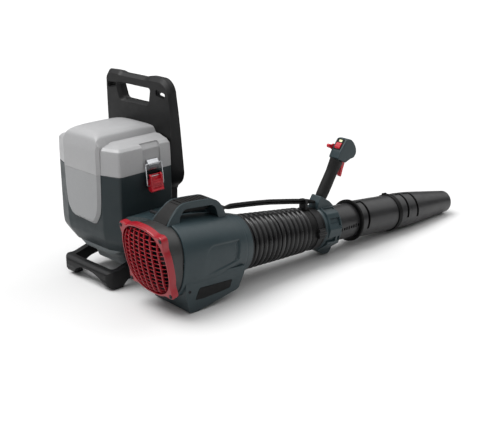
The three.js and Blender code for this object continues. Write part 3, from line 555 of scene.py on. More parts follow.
def metal(name, rgb, rough=0.28, brushed=(1, 1, 1), var=0.1):
    """Plated steel or aluminium: fine directional brushing, small stains and painted shade in the recesses."""
    n = Nodes(name)
    base = lin(*rgb)
    lines = n.noise(900, 3, 0.6, stretch=brushed)
    stain = n.noise(34, 5, 0.6)
    col = n.mix(n.ramp(stain, 0.35, 0.7, 0, 1), scaled(base, 1 + var * 0.5), scaled(base, 1 - var))
    # painted shade: the colour is darkened where the surface is concave
    col = n.mix(n.mul(n.edges(0.495, 0.44), 0.5), col, scaled(base, 0.4))
    n.link(col, n.bsdf.inputs["Base Color"])
    n.link(n.ramp(lines, 0.3, 0.7, rough - 0.06, rough + 0.14), n.bsdf.inputs["Roughness"])
    n.link(n.bump(lines, 0.00003), n.bsdf.inputs["Normal"])
    n.set(Metallic=1.0)
    return n.mat


def fabric(name, rgb, pitch=1500, depth=0.0003, rough=0.9, sheen=0.25, along=("X", "Z")):
    """Woven cover: two crossing yarns with fuzz and uneven dye."""
    n = Nodes(name)
    base = lin(*rgb)
    sep = n.add("ShaderNodeSeparateXYZ")
    n.link(n.co, sep.inputs[0])
    w = []
    for ax, ph in zip(along, (0.0, 1.57)):
        m = n.mul(sep.outputs[ax], pitch * 2.0)
        s = n.add("ShaderNodeMath", operation="SINE")
        n.link(n.mul(m, ph, "ADD"), s.inputs[0])
        w.append(s.outputs[0])
    weave = n.mul(w[0], w[1])
    fuzz = n.noise(2400, 2)
    h = n.mul(n.mul(weave, 0.5), n.mul(fuzz, 0.6), "ADD")
    dye = n.noise(18, 4)
    col = n.mix(n.ramp(dye, 0.3, 0.7, 0, 1), scaled(base, 0.86), scaled(base, 1.16))
    # painted shade: darker in the low places of the weave, between the yarns
    col = n.mix(n.ramp(weave, -0.6, 0.9, 0, 0.55), scaled(base, 0.55), col)
    col = n.mix(n.mul(n.edges(0.505, 0.56), 0.3), col, scaled(base, 1.7))
    n.link(col, n.bsdf.inputs["Base Color"])
    n.link(n.ramp(fuzz, 0.3, 0.7, rough - 0.05, min(1.0, rough + 0.06)), n.bsdf.inputs["Roughness"])
    n.link(n.bump(h, depth), n.bsdf.inputs["Normal"])
    n.set(Sheen_Weight=sheen, Sheen_Roughness=0.5, Specular_IOR_Level=0.25)
    return n.mat


M = {
    "slate": plastic("mat_slate", (35, 48, 52), 0.42, var=0.05, wear=0.10, spec=0.36),
    "slate_dark": plastic("mat_slate_dark", (27, 37, 40), 0.44, var=0.05, wear=0.08, spec=0.30),
    "black": plastic("mat_black", (17, 17, 18), 0.46, var=0.07, wear=0.20, spec=0.27),
    "band": plastic("mat_band", (41, 42, 42), 0.4, var=0.06, wear=0.12, spec=0.40),
    "tube": plastic("mat_tube", (30, 30, 31), 0.34, var=0.05, grain=1500, depth=0.00004, wear=0.10, spec=0.42),
    "light": plastic("mat_light", (151, 151, 152), 0.40, var=0.03, wear=0.05, spec=0.42),
    "panel": plastic("mat_panel", (139, 140, 141), 0.44, var=0.03, wear=0.05, spec=0.4),
    "tray": plastic("mat_tray", (112, 118, 120), 0.5, var=0.04, wear=0.06, spec=0.35),
    "red": plastic("mat_red", (170, 20, 36), 0.36, var=0.06, wear=0.10, spec=0.45, coat=0.12),
    "grille": plastic("mat_grille", (134, 8, 24), 0.34, var=0.06, wear=0.12, spec=0.40, coat=0.12),
    "rubber": plastic("mat_rubber", (7, 7, 7), 0.40, var=0.15, grain=1600, depth=0.00006, wear=0.0, spec=0.22),
    "hose": plastic("mat_hose", (4, 4, 5), 0.30, var=0.12, grain=1600, depth=0.00004, wear=0.0, spec=0.5),
    # near-black: the own colour of the position marks, and painted shade on the sheets laid in the tube grooves
    "groove": plastic("mat_groove", (1, 1, 1), 0.85, var=0.2, wear=0.0, spec=0.04),
    "seal": plastic("mat_seal", (3, 3, 3), 0.5, var=0.2, grain=1600, depth=0.00005, wear=0.0, spec=0.14),
    "overmould": plastic("mat_overmould", (14, 14, 14), 0.56, var=0.1, grain=520, depth=0.00035, wear=0.08, spec=0.26),
    "battery": plastic("mat_battery", (46, 48, 50), 0.5, var=0.06, wear=0.15),
    "steel": metal("mat_steel", (196, 198, 201), 0.26, (1, 14, 1)),
    "dark_steel": metal("mat_dark_steel", (52, 53, 55), 0.4, (1, 8, 1)),
    "aluminium": metal("mat_aluminium", (168, 170, 173), 0.34, (1, 1, 16)),
    "foam": fabric("mat_foam", (34, 36, 38), 900, 0.0005),
    "webbing": fabric("mat_webbing", (24, 25, 26), 1300, 0.0004, 0.8, 0.15),
    "dark": plastic("mat_dark", (9, 9, 10), 0.6, var=0.1, wear=0.05, spec=0.2),
}
_l = Nodes("mat_lens")
_c = _l.mix(_l.ramp(_l.noise(160, 3), 0.3, 0.7, 0, 1), lin(196, 204, 150), lin(222, 226, 188))
_l.link(_c, _l.bsdf.inputs["Base Color"])
_l.link(_c, _l.bsdf.inputs["Emission Color"])
_l.link(_l.ramp(_l.noise(300, 2), 0.3, 0.7, 0.12, 0.22), _l.bsdf.inputs["Roughness"])
_l.set(Emission_Strength=0.12, Coat_Weight=0.4)
M["lens"] = _l.mat

DONE = set()


def body_of(node):
    return NODES[node].parent.name.split(":", 1)[1]


def finish(ob, mat, nodes=(), body=None, at=LOC, name=None):
    """Puts a finished piece into the shared frame, on its body, in place of its CAD nodes."""
    nodes = [nodes] if isinstance(nodes, str) else list(nodes)
    move(ob, at)
    ob.name = name or (nodes[0] + "_skin")
    ob.data.name = ob.name
    ob.data.materials.clear()
    ob.data.materials.append(M[mat])
    if nodes:
        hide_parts(*nodes)
        DONE.update(nodes)
    if body != "-":
        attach(ob, body or body_of(nodes[0]))
    return ob


def softened(node, mat, w=1.0, seg=2, at=LOC, ang=28):
    """A CAD node with its edges rounded."""
    o = from_node(node, at)
    if w:
        bevel(o, w, seg, ang)
    shade(o)
    return finish(o, mat, node, at=at)


# ================================================================ pack
CASE_HW, CASE_REAR, CASE_FRONT, SEAM, BOTTOM = 126.5, -10.0, 170.0, 297.0, 97.0
PANEL_HW = 73.5
P0, P1, PTOP = 170.4, 196.0, 505.0


def curve(table, at):
    """Smooth monotone interpolation of rows (key, a, b, ...) at the given keys."""
    T = np.array(table, float)
    x, Y = T[:, 0], T[:, 1:]
    d = np.diff(Y, axis=0) / np.diff(x)[:, None]
    m = np.zeros_like(Y)
    for c in range(Y.shape[1]):
        for i in range(1, len(x) - 1):
            if d[i - 1, c] * d[i, c] > 0:
                m[i, c] = 2 / (1 / d[i - 1, c] + 1 / d[i, c])
        m[0, c], m[-1, c] = d[0, c], d[-1, c]
    out = []
    for v in at:
        i = int(np.clip(np.searchsorted(x, v) - 1, 0, len(x) - 2))
        h = x[i + 1] - x[i]
        t = (v - x[i]) / h
        out.append((2 * t ** 3 - 3 * t * t + 1) * Y[i] + (t ** 3 - 2 * t * t + t) * h * m[i] + (-2 * t ** 3 + 3 * t * t) * Y[i + 1] + (t ** 3 - t * t) * h * m[i + 1])
    return out


# ---- back frame
def back_frame():
    def arc(cx, cz, rx, rz):
        return [(cx + rx * math.cos(math.radians(t)), cz + rz * math.sin(math.radians(t))) for t in range(0, 91, 15)]

    def ring(low, right, top, left):
        return low + right + top + [(-x, z) for x, z in left] + [(-x, z) for x, z in low[::-1]]
    lr = [10, 6, 3, 8, 0, 6, 20, 16]
    rr = lr + [60, 30] + [0] * 7 + [8, 7, 9, 0] + [7, 7, 5, 20, 60] + lr[::-1]
    rear = ring([(58, 30), (70, 2), (108, 2), (114, 12), (114, 200), (114, 236), (121, 252), (124, 275)],
                [(127, 385), (125.5, 430)] + arc(84, 459, 36, 41), [(50, PTOP - 5), (42, PTOP - 6), (30, PTOP - 7), (0, PTOP - 7)],
                [(60, PTOP - 7), (68, PTOP - 7), (78, PTOP - 6), (127, PTOP - 6), (127, 385)])
    mid = ring([(58, 30), (70, 2), (108, 2), (114, 12), (114.5, 200), (115, 235), (128, 252), (132, 274)],
               [(131, 385), (128, 430)] + arc(84, 463, 38.5, 47.5), [(50, PTOP + 5.8), (42, PTOP + 5), (28, PTOP - 0.5), (0, PTOP - 0.5)],
               [(60, PTOP - 0.5), (69, PTOP), (79, PTOP + 4.5), (128.5, PTOP + 4.5), (131, 385)])
    front = ring([(58, 30), (70, 2), (108, 2), (114, 12), (115, 200), (116, 234), (138, 252), (145, 272)],
                 [(133.5, 385), (128, 430)] + arc(84, 468, 38, 41), [(50, PTOP + 4.3), (42, PTOP + 3.5), (28, PTOP - 2), (0, PTOP - 2)],
                 [(60, PTOP - 2), (68, PTOP - 1.5), (78, PTOP + 1), (124, PTOP + 1), (134, 385)])
    rings = [(y, fillet(r, rr, 9)) for y, r in ((P0, rear), (P0 + 9, mid), (P1, front))]
    o = loft("back_frame_v", [[(x, y, z) for x, z in r] for y, r in rings])
    hole = fillet([(-80, 478), (50, 478), (40, 438), (-65, 438)], 10, 6)
    cutters = [prism("c", hole, P0 - 1, P1 + 1, "y")]
    # funnel at the rear of the carry opening, deepest on its left wall
    wide = fillet([(-92, 481), (52, 481), (43, 434), (-75, 432)], 11, 6)
    cutters.append(prism("c", wide, P0 - 0.5, P0 + 7, "y", hole))
    for s in (-1, 1):
        cutters.append(prism("c", fillet([(s * 82 - 7, 478), (s * 111 - 7, 473), (s * 111 - 7, 463), (s * 82 - 7, 468)], 4.6, 5), P0 - 1, P1 + 1, "y"))
        cutters.append(prism("c", fillet([(s * 79 - 7, 481), (s * 114 - 7, 475.5), (s * 114 - 7, 460.5), (s * 79 - 7, 465)], 6, 5), P0 - 0.5, P0 + 3, "y"))
    cutters.append(prism("c", fillet([(-100, 60), (100, 60), (106, 250), (112, 290), (104, 420), (-104, 420), (-112, 290), (-106, 250)], 14, 5), P1 - 14, P1 + 1, "y"))
    cutters.append(prism("c", fillet([(60, 468), (104, 475), (104, 452), (60, 449)], 6, 5), P0 + 9, P1 + 1, "y"))
    cut(o, *cutters)
    for s in (-1, 1):
        join(o, prism("f", fillet(rect(s * 89 - 14, s * 89 + 14, P0 + 4, P1 - 4), 6, 4), 0.2, 6))
    clean(o, 0.02, 0.4)
    bevel(o, 3.2, 3, 24)
    shade(o, 36)
    finish(o, "black", "back_frame")


back_frame()


# ---- foot loop
def foot_loop():
    hw = 97
    U = [(-hw, CASE_FRONT), (-hw, -22), (hw, -22), (hw, CASE_FRONT), (80, CASE_FRONT), (80, 3), (-80, 3), (-80, CASE_FRONT)]
    prof = fillet([(-20.5, 24), (-17.5, 10), (-5, 2), (40, 2), (CASE_FRONT, 2), (CASE_FRONT, 66), (96, 68), (50, 58), (14, 48.5), (-9, 50), (-20.5, 42)], [6, 8, 10, 0, 0, 0, 16, 16, 8, 12, 10], 6)
    o = both(prism("foot_loop_v", fillet(U, [0, 26, 26, 0, 0, 12, 12, 0], 8), 0, 75), prism("p", prof, -hw - 1, hw + 1, "x"))
    arch = smooth_path([(-65, -1), (-60, 6), (-50, 17), (-36, 28), (-14, 35), (14, 35.5), (36, 32.5), (56, 25), (71, 15), (80, -1)], 4)
    under = fillet([(24, -1), (30, 16), (52, 30), (120, 40), (150, 40), (156, -1)], [0, 10, 14, 8, 6, 0], 5)
    cut(o, prism("c", [(x, z) for x, z in arch], -40, 20, "y"), prism("c", under, -120, 72, "x"), prism("c", [(24, -1), (24, 4), (40, 18), (156, 18), (156, -1)], 72, 120, "x"))
    cut(o, prism("c", [(-120, -2), (-120, 46), (-99, 44), (-95, 34), (-88, 22), (-82, 8), (-80, -2)], -40, 24, "y"))
    clean(o, 0.02, 0.5)
    bevel(o, 7.0, 5, 26)
    for s in (-1, 1):
        join(o, prism("f", fillet(rect(78, 93, -1, 24) if s > 0 else rect(-81, -68, -1, 20), 5, 4), 0.05, 7))
        join(o, prism("f", fillet([(76, 50), (140, 50), (140, 78), (124, 84), (96, 84), (86, 72)], [0, 0, 2, 8, 8, 6], 4), s * 90 - 6, s * 90 + 3, "x"))
    clean(o, 0.02, 0)
    shade(o, 38)
    finish(o, "black", "foot_loop")


foot_loop()


# ---- battery case
def plan(hw, yr, hp, yc, yf, cf, n=8):
    return fillet([(-hp, yr), (hp, yr), (hw, yc), (hw, yf - cf), (hw - cf, yf), (-hw + cf, yf), (-hw, yf - cf), (-hw, yc)], [4, 4, 8, 3, 3, 3, 3, 8], n)


def case_loft(name, levels, d=0.0):
    return loft(name, [[(p[0], p[1], z) for p in plan(hw - d, yr + d, hp - d * 0.4, yc + d * 0.7, CASE_FRONT - d, 2.5)] for z, hw, yr, hp, yc in levels])


SHELL = [(BOTTOM, 105, 10, 64, 24), (106, 111, 5, 66, 19), (132, CASE_HW, -7, 73, 10), (158, CASE_HW, CASE_REAR, PANEL_HW, 8.4), (SEAM - 0.2, CASE_HW, CASE_REAR, PANEL_HW, 8.4)]
SHELL_IN = [(BOTTOM + 5, 108, 7, 66, 21), (132, CASE_HW, -7, 73, 10), (158, CASE_HW, CASE_REAR, PANEL_HW, 8.4), (SEAM + 5, CASE_HW, CASE_REAR, PANEL_HW, 8.4)]


def case_shell():
    keys = [BOTTOM, 100, 103, 106, 112, 118, 124, 129, 133, 138, 144, 150, 158, 200, 250, SEAM - 1.2, SEAM - 0.2]
    rows = curve(SHELL, keys)
    lv = [(z, *r) for z, r in zip(keys, rows)]
    lv[-1] = (SEAM - 0.2, CASE_HW - 0.9, CASE_REAR + 0.9, PANEL_HW, 9.1)
    o = case_loft("case_shell_v", lv)
    cut(o, case_loft("c", SHELL_IN, 4))
    for y0, y1 in ((34, 56), (116, 138)):
        k = prism("k", fillet([(-CASE_HW + 2, 276), (-CASE_HW + 2, 296.8), (-127.2, 296.8), (-129.5, 300.5), (-134, 303.5), (-139, 301), (-140, 295), (-136, 288)], [0, 0, 1, 3, 4, 4, 4, 4], 4), y0, y1, "y")
        join(o, bevel(k, 0.8, 2))
    cut(o, move(rod("c", 3.3, 20, 150, 24), tr(-133.5, 0, 297)))
    clean(o, 0.02, 0)
    shade(o, 30)
    finish(o, "slate_dark", "case_shell")


case_shell()


def case_panel():
    sh = fillet([(-PANEL_HW + 0.5, SEAM - 0.2), (-PANEL_HW + 2, 236), (-66, 194), (-47, 170), (36, 166), (47, 168), (66, 194), (PANEL_HW - 2, 236), (PANEL_HW - 0.5, SEAM - 0.2)], [0, 20, 14, 10, 0, 10, 14, 20, 0], 6)
    def ring(y, d):
        q = inset(sh, d) if d else sh
        return [(min(max(x, -PANEL_HW + 0.5 + d), PANEL_HW - 0.5 - d), y, (SEAM - 0.2) if s[1] > SEAM - 1 else z) for (x, z), s in zip(q, sh)]
    o = loft("case_panel_v", [ring(CASE_REAR - 0.3, 0), ring(CASE_REAR - 0.9, 0), ring(CASE_REAR - 1.2, 0.3), ring(CASE_REAR - 7.1, 7.0), ring(CASE_REAR - 7.5, 7.8), ring(CASE_REAR - 7.7, 9.5)])
    shade(o, 22)
    finish(o, "panel", "case_panel")


case_panel()


def case_tray():
    rows = [(38, 58, 60, 48, 68, 150), (60, 61, 50, 46, 60, 154), (80, 66, 20, 48, 30, 158), (BOTTOM - 0.3, 100, 13, 62, 26, 160)]
    keys = [38, 39.2, 42, 50, 60, 68, 74, 80, 86, 92, BOTTOM - 0.3]
    rs = []
    for z, (hw, yr, hp, yc, yf) in zip(keys, [np.array(r) for r in curve([(r[0], *r[1:]) for r in rows], keys)]):
        d = 3.0 if z == 38 else (0.9 if z == 39.2 else 0)
        rs.append([(p[0], p[1], z) for p in plan(hw - d, yr + d, hp - d, yc + d, yf - d, 12, 6)])
    o = loft("case_tray_v", rs)
    shade(o, 34)
    finish(o, "tray", "case_tray")


case_tray()


# ---- lid
def case_lid():
    lv = [(SEAM + 0.2, 0.7), (SEAM + 1.2, 0.0), (330, 0.3), (350, 0.8), (356, 1.3), (357.8, 1.9), (359.0, 2.9), (363.6, 7.6), (364.7, 9.4), (365.6, 12.5), (368.6, 24), (372.5, 36)]
    def ring(z, d, n=8):
        return [(p[0], p[1], z) for p in plan(CASE_HW - d, CASE_REAR + d, PANEL_HW - d * 0.4, 8.4 + d * 0.7, CASE_FRONT - min(d, 3), 2.5, n)]
    o = loft("case_lid_v", [ring(z, d) for z, d in lv])
    # raised middle band: one crowned surface that rolls over into the rear wall
    xz = fillet([(-PANEL_HW, 330), (-PANEL_HW, 364), (-60.5, 391), (-46, 400), (-16, 405.5), (16, 405), (46, 397), (60.5, 388.5), (PANEL_HW, 364), (PANEL_HW, 330)], [0, 5, 6, 14, 24, 24, 14, 6, 5, 0], 6)[1:-1]
    yz = fillet([(CASE_REAR - 7.7, 330), (CASE_REAR - 7.7, 360), (-11, 385), (8, 398), (40, 405), (90, 406.5), (130, 402), (158, 394), (CASE_FRONT, 389.5), (CASE_FRONT, 330)], [0, 20, 18, 16, 30, 40, 30, 15, 0, 0], 8)[1:-1]
    xz[0], xz[-1] = (-PANEL_HW, xz[0][1]), (PANEL_HW, xz[-1][1])

    def crown(u, v, k=5.0):
        return min(u, v) - k * math.log1p(math.exp(-abs(u - v) / k)) * min(1.0, max(0.0, (min(u, v) - 350) / 20))
    band = loft("band", [[(x, y, crown(u, v)) for x, u in xz] + [(PANEL_HW, y, SEAM + 0.2), (-PANEL_HW, y, SEAM + 0.2)] for y, v in yz])
    for s in (-1, 1):
        cut(band, prism("c", [(s * (PANEL_HW + 2), CASE_REAR - 1.2), (s * (PANEL_HW - 0.5), CASE_REAR - 1.0), (s * (PANEL_HW - 7.2), CASE_REAR - 7.1), (s * (PANEL_HW - 10), CASE_REAR - 10), (s * (PANEL_HW + 2), CASE_REAR - 10)], 290, 400))
    clean(band, 0.02, 0)
    join(o, band)
    join(o, prism("h", fillet([(-CASE_HW + 2, 301), (-CASE_HW + 2, 320), (-134, 304), (-139.5, 300), (-140, 294.5), (-135, 290.5), (-130, 292), (-128, 297.3), (-CASE_HW - 0.4, 301)], [0, 0, 4, 3, 4, 3, 2, 1, 0], 4), 62, 110, "y"))
    inner = loft("c", [ring(z, d, 5) for z, d in ((SEAM - 5, 5), (342, 5.4), (347, 7), (356, 16), (358.5, 24), (363, 40))])
    recess = prism("c", [(CASE_HW - 4, 290), (CASE_HW - 4, 349), (CASE_HW - 6, 354), (CASE_HW - 14.5, 363.2), (CASE_HW - 14.5, 380), (CASE_HW + 15, 380), (CASE_HW + 15, 290)], 79, 135, "y")
    for p in ((79, 76), (135, 138)):
        cut(o, prism("c", [(CASE_HW - 0.4, p[0]), (CASE_HW - 0.4, p[1]), (CASE_HW + 6, p[1]), (CASE_HW + 6, p[0] + (p[1] - p[0]) * -2)], 288, 352))
    cut(o, inner, move(rod("c", 3.3, 20, 150, 24), tr(-133.5, 0, 297)), recess)
    clean(o, 0.02, 0)
    shade(o, 30)
    finish(o, "light", "case_lid")


case_lid()


# ---- inside the case
softened("battery_pack", "battery", 3.0, 3)
softened("battery_dock", "black", 0.8, 2)
softened("controller_box", "aluminium", 1.0, 2)


# ---- draw latch
def latch():
    c = [(CASE_HW - 3.7, 299), (CASE_HW - 3.7, 326), (CASE_HW + 0.5, 326), (131.6, 319.4), (134.6, 317.6), (135.4, 315), (133.2, 306), (131.4, 301.5), (129, 299)]
    o = prism("lid_catch_v", fillet(c, [0, 0, 1.0, 2, 1, 1, 2, 1, 0], 4), 90, 124, "y")
    bevel(o, 0.5, 2)
    shade(o)
    finish(o, "steel", "lid_catch")
    softened("latch_base", "dark", 0.7, 2)
    lever = [(131, 289), (136, 291.5), (142, 288), (144, 276), (145, 263), (146, 255), (149, 250), (145.5, 247.5), (140, 248.5), (134, 252), (131, 263), (130.6, 280)]
    o = prism("latch_lever_v", fillet(lever, 3, 4), 88, 126, "y")
    cut(o, move(rod("c", 2.3, 70, 150, 20), tr(134.5, 0, 286)), move(rod("c", 1.8, 80, 97, 16), tr(138, 0, 263)), move(rod("c", 1.8, 117, 135, 16), tr(138, 0, 263)))
    cut(o, box("c", 136.5, 150, 93, 121, 277, 300), box("c", 142.5, 150, 93, 121, 271, 280))
    cut(o, *[box("c", 144.2, 152, 95, 119, z, z + 1.4) for z in (256.5, 260.5, 264.5)])
    clean(o)
    bevel(o, 0.9, 3)
    shade(o)
    finish(o, "red", "latch_lever")
    xt, top, w = 132.4, 317, 1.45
    path = [(138, 95, 263), (138, 81.5, 263), (xt + 0.3, 81.5, top), (xt, 134 - 1.5, top), (138, 132.5, 263), (138, 119, 263)]
    o = wire("latch_bail_v", rounded_path(path, 4, 6), w, 12)
    shade(o, 60, False)
    finish(o, "steel", "latch_bail")


latch()


# ---- wearer's side: pad, shoulder bands and webs
def padded_shape(name, rings, voxel=5.0, swell=6.0, floor_y=None, frames=18, pressure=4.0):
    """A stuffed cover: the shape is remeshed, blown up a little as cloth, and no point moves further than swell."""
    o = loft(name, rings)
    m = o.modifiers.new("r", "REMESH")
    m.mode, m.voxel_size = "VOXEL", voxel
    bake(o)
    rest = np.array([v.co for v in o.data.vertices])
    o.data.transform(Matrix.Scale(0.001, 4))
    m = o.modifiers.new("cloth", "CLOTH")
    s = m.settings
    s.quality, s.mass = 4, 0.25
    s.tension_stiffness = s.compression_stiffness = 12
    s.shear_stiffness, s.bending_stiffness = 6, 0.6
    s.use_pressure, s.uniform_pressure_force = True, pressure
    s.effector_weights.gravity = 0
    m.collision_settings.use_collision = m.collision_settings.use_self_collision = False
    SCENE.frame_start, SCENE.frame_end = 1, frames
    m.point_cache.frame_start, m.point_cache.frame_end = 1, frames
    for fr in range(1, frames + 1):
        SCENE.frame_set(fr)
    bake(o)
    SCENE.frame_set(1)
    o.data.transform(Matrix.Scale(1000, 4))
    now = np.array([v.co for v in o.data.vertices])
    d = now - rest
    L = np.linalg.norm(d, axis=1, keepdims=True)
    now = rest + d * np.minimum(1, swell / np.maximum(L, 1e-9))
    if floor_y is not None:
        now[:, 1] = np.maximum(now[:, 1], floor_y)
    o.data.vertices.foreach_set("co", now.ravel())
    o.data.update()
    m = o.modifiers.new("s", "SMOOTH")
    m.iterations, m.factor = 3, 0.5
    m = o.modifiers.new("u", "SUBSURF")
    m.levels = m.render_levels = 1
    bake(o)
    return o


def groove(o, dist, depth, width, keep=None):
    """Presses sewn channels into a mesh along y: dist gives each point's distance from the seam."""
    co = np.array([v.co for v in o.data.vertices])
    d = dist(co)
    k = np.exp(-(d / width) ** 2) * depth
    if keep is not None:
        k = k * keep(co)
    co[:, 1] -= k
    o.data.vertices.foreach_set("co", co.ravel())
    o.data.update()


def back_pad():
    out = fillet([(-92, 68), (92, 68), (98, 250), (103, 290), (96, 412), (-96, 412), (-103, 290), (-98, 250)], 20, 5)
    rings = []
    for y, d in ((P1 - 13.2, 9), (P1 - 11.5, 6.5), (P1 - 2, 6), (P1 + 3, 7), (P1 + 6, 10), (P1 + 8, 16)):
        rings.append([(x, y, z) for x, z in inset(out, d)])
    o = padded_shape("back_pad_v", rings, 4.6, 5.6, P1 - 13.6)
    front = lambda c: np.clip((c[:, 1] - P1) / 8, 0, 1)
    seams = []
    for z in (150, 225, 300, 365):
        seams.append(lambda c, z=z: np.abs(c[:, 2] - z - 6 * np.cos(c[:, 0] / 60)))
    for s in (-1, 1):
        seams.append(lambda c, s=s: np.abs(c[:, 0] - s * (30 + 3 * np.sin(c[:, 2] / 50))))
    for f in seams:
        groove(o, f, 3.6, 4.2, front)
    shade(o, 60, False)
    co = [v.co for v in o.data.vertices]
    finish(o, "foam", "back_pad")
    # piping round the pad where front and side covers meet
    ring = [(x, P1 + 1.0, z) for x, z in inset(out, 1.6)]
    p = wire("pad_piping", ring, 1.5, 10, closed=True)
    shade(p, 60, False)
    finish(p, "webbing", (), "pack", name="pad_piping")
    return o


back_pad()


def harness():
    for s, side in ((-1, "left"), (1, "right")):
        path = smooth_path([(427, P1 + 0.6, 9), (424.5, P1 + 8, 9), (408, P1 + 17.5, 10), (380, P1 + 18.6, 10.5), (320, P1 + 19, 10.5), (260, P1 + 19, 10.5), (226, P1 + 18.2, 9), (214.5, P1 + 17.6, 4)], 8)
        n = 20
        rings = []
        for i, (z, y, t) in enumerate(path):
            a = path[max(0, i - 1)]
            b = path[min(len(path) - 1, i + 1)]
            tz, ty = b[0] - a[0], b[1] - a[1]
            L = math.hypot(tz, ty) or 1
            nz, ny = ty / L, -tz / L                                   # out of the band, away from the frame
            if ny < 0 or (abs(ny) < 0.2 and nz < 0):
                nz, ny = -nz, -ny
            k = i / (len(path) - 1)
            xc = s * (58 + 10 * (427 - z) / 213)
            w = 25.5 - (5.5 * max(0, k - 0.86) / 0.14 if k > 0.86 else 0) - (2.0 * max(0, 0.08 - k) / 0.08)
            ring = []
            for j in range(n):
                u = 2 * math.pi * j / n
                c, q = math.cos(u), math.sin(u)
                ex = math.copysign(abs(c) ** 0.55, c) * w
                h = math.copysign(abs(q) ** 0.8, q) * t / 2 + t / 2
                h -= 0.9 * math.exp(-((abs(ex) - (w - 5)) / 1.3) ** 2) * (1 if q > 0 else 0)   # sewn edge
                ring.append((xc + ex, y + ny * h, z + nz * h))
            rings.append(ring)
        o = loft(f"shoulder_strap_{side}_v", rings)
        m = o.modifiers.new("u", "SUBSURF")
        m.levels = m.render_levels = 1
        bake(o)
        shade(o, 60, False)
        finish(o, "foam", f"shoulder_strap_{side}")
        # web sewn along the band, and on down to the frame through a ladder buckle
        wy = smooth_path([(400, P1 + 28.2), (380, P1 + 29.6), (320, P1 + 30), (260, P1 + 30), (226, P1 + 27.8), (214, P1 + 22.6), (204, P1 + 19.2), (190, P1 + 17.4), (150, P1 + 17.2), (110, P1 + 17.2), (84, P1 + 16), (66, P1 + 10), (56, P1 + 3.2), (54, P1 + 0.8)], 6)
        rings = []
        for i, (z, y) in enumerate(wy):
            a, b = wy[max(0, i - 1)], wy[min(len(wy) - 1, i + 1)]
            L = math.hypot(b[0] - a[0], b[1] - a[1]) or 1
            nz, ny = (b[1] - a[1]) / L, -(b[0] - a[0]) / L
            xc = s * (58 + 10 * (427 - z) / 213) if z > 213.7 else s * (68 + 18 * (213.7 - z) / 160)
            rings.append([(xc + ex, y + ny * h, z + nz * h) for ex, h in ((-12.5, 0.2), (-11.9, 0), (11.9, 0), (12.5, 0.2), (12.5, 1.4), (11.9, 1.6), (-11.9, 1.6), (-12.5, 1.4))])
        o = loft(f"strap_web_{side}_v", rings)
        shade(o, 50, False)
        finish(o, "webbing", f"strap_web_{side}")
        xb = s * 68.6
        b = prism("b", fillet(rect(xb - 17, xb + 17, 193, 219), 4, 4), P1 + 20.4, P1 + 23.6, "y")
        cut(b, *[prism("c", fillet(rect(xb - 13.4, xb + 13.4, z, z + 4), 1.2, 3), P1 + 15, P1 + 28, "y") for z in (197, 204, 211)])
        clean(b)
        bevel(b, 0.8, 2)
        shade(b)
        finish(b, "black", (), "pack", name=f"buckle_{side}")


harness()


# ================================================================ blower
SQ_N = 2.6
HOUSING = [(12, 90, 2.6), (50, 91, 2.6), (110, 90, 2.55), (160, 86.5, 2.4), (200, 82, 2.2), (225, 78, 2.05), (238, 75, 2)]


def sq(a, n, seg=96):
    out = []
    for i in range(seg):
        t = (i + 0.5) / seg * 2 * math.pi
        c, s = math.cos(t), math.sin(t)
        r = a / (abs(c) ** n + abs(s) ** n) ** (1 / n)
        out.append((r * c, r * s))
    return out


def face_ring(a, n, gy, seg=96):
    return [tuple(FACE @ Vector((x, gy, z))) for x, z in sq(a, n, seg)]


def y_ring(a, n, y, seg=96):
    return [(x, y, z) for x, z in sq(a, n, seg)]


def envelope(off, seg=96):
    rings = [face_ring(86 + off, SQ_N, 8, seg), face_ring(86 + off, SQ_N, 14.3, seg), y_ring(86.5 + off, SQ_N, 11.7, seg)]
    keys = [11.95, 30, 50, 80, 110, 135, 160, 180, 200, 213, 225, 232, 238]
    rows = curve([(y if y != 12 else 11.95, a, n) for y, a, n in HOUSING], keys)
    rings += [y_ring(a + off, n, y, seg) for y, (a, n) in zip(keys, rows)]
    rings.append(y_ring(75 + off, 2, 243, seg))
    return loft("env", rings)


def poly_sdf(P, poly):
    """Signed distance of 2-D points to a closed outline, negative inside."""
    d = np.full(len(P), 1e9)
    inside = np.zeros(len(P), bool)
    for i in range(len(poly)):
        a, b = np.array(poly[i - 1]), np.array(poly[i])
        ab = b - a
        t = np.clip(((P - a) @ ab) / (ab @ ab), 0, 1)
        d = np.minimum(d, np.linalg.norm(P - a - t[:, None] * ab, axis=1))
        c = ((a[1] > P[:, 1]) != (b[1] > P[:, 1])) & (P[:, 0] < (b[0] - a[0]) * (P[:, 1] - a[1]) / (b[1] - a[1] + 1e-12) + a[0])
        inside ^= c
    return np.where(inside, -d, d)


def sstep(x, a, b):
    t = np.clip((x - a) / (b - a), 0, 1)
    return t * t * (3 - 2 * t)


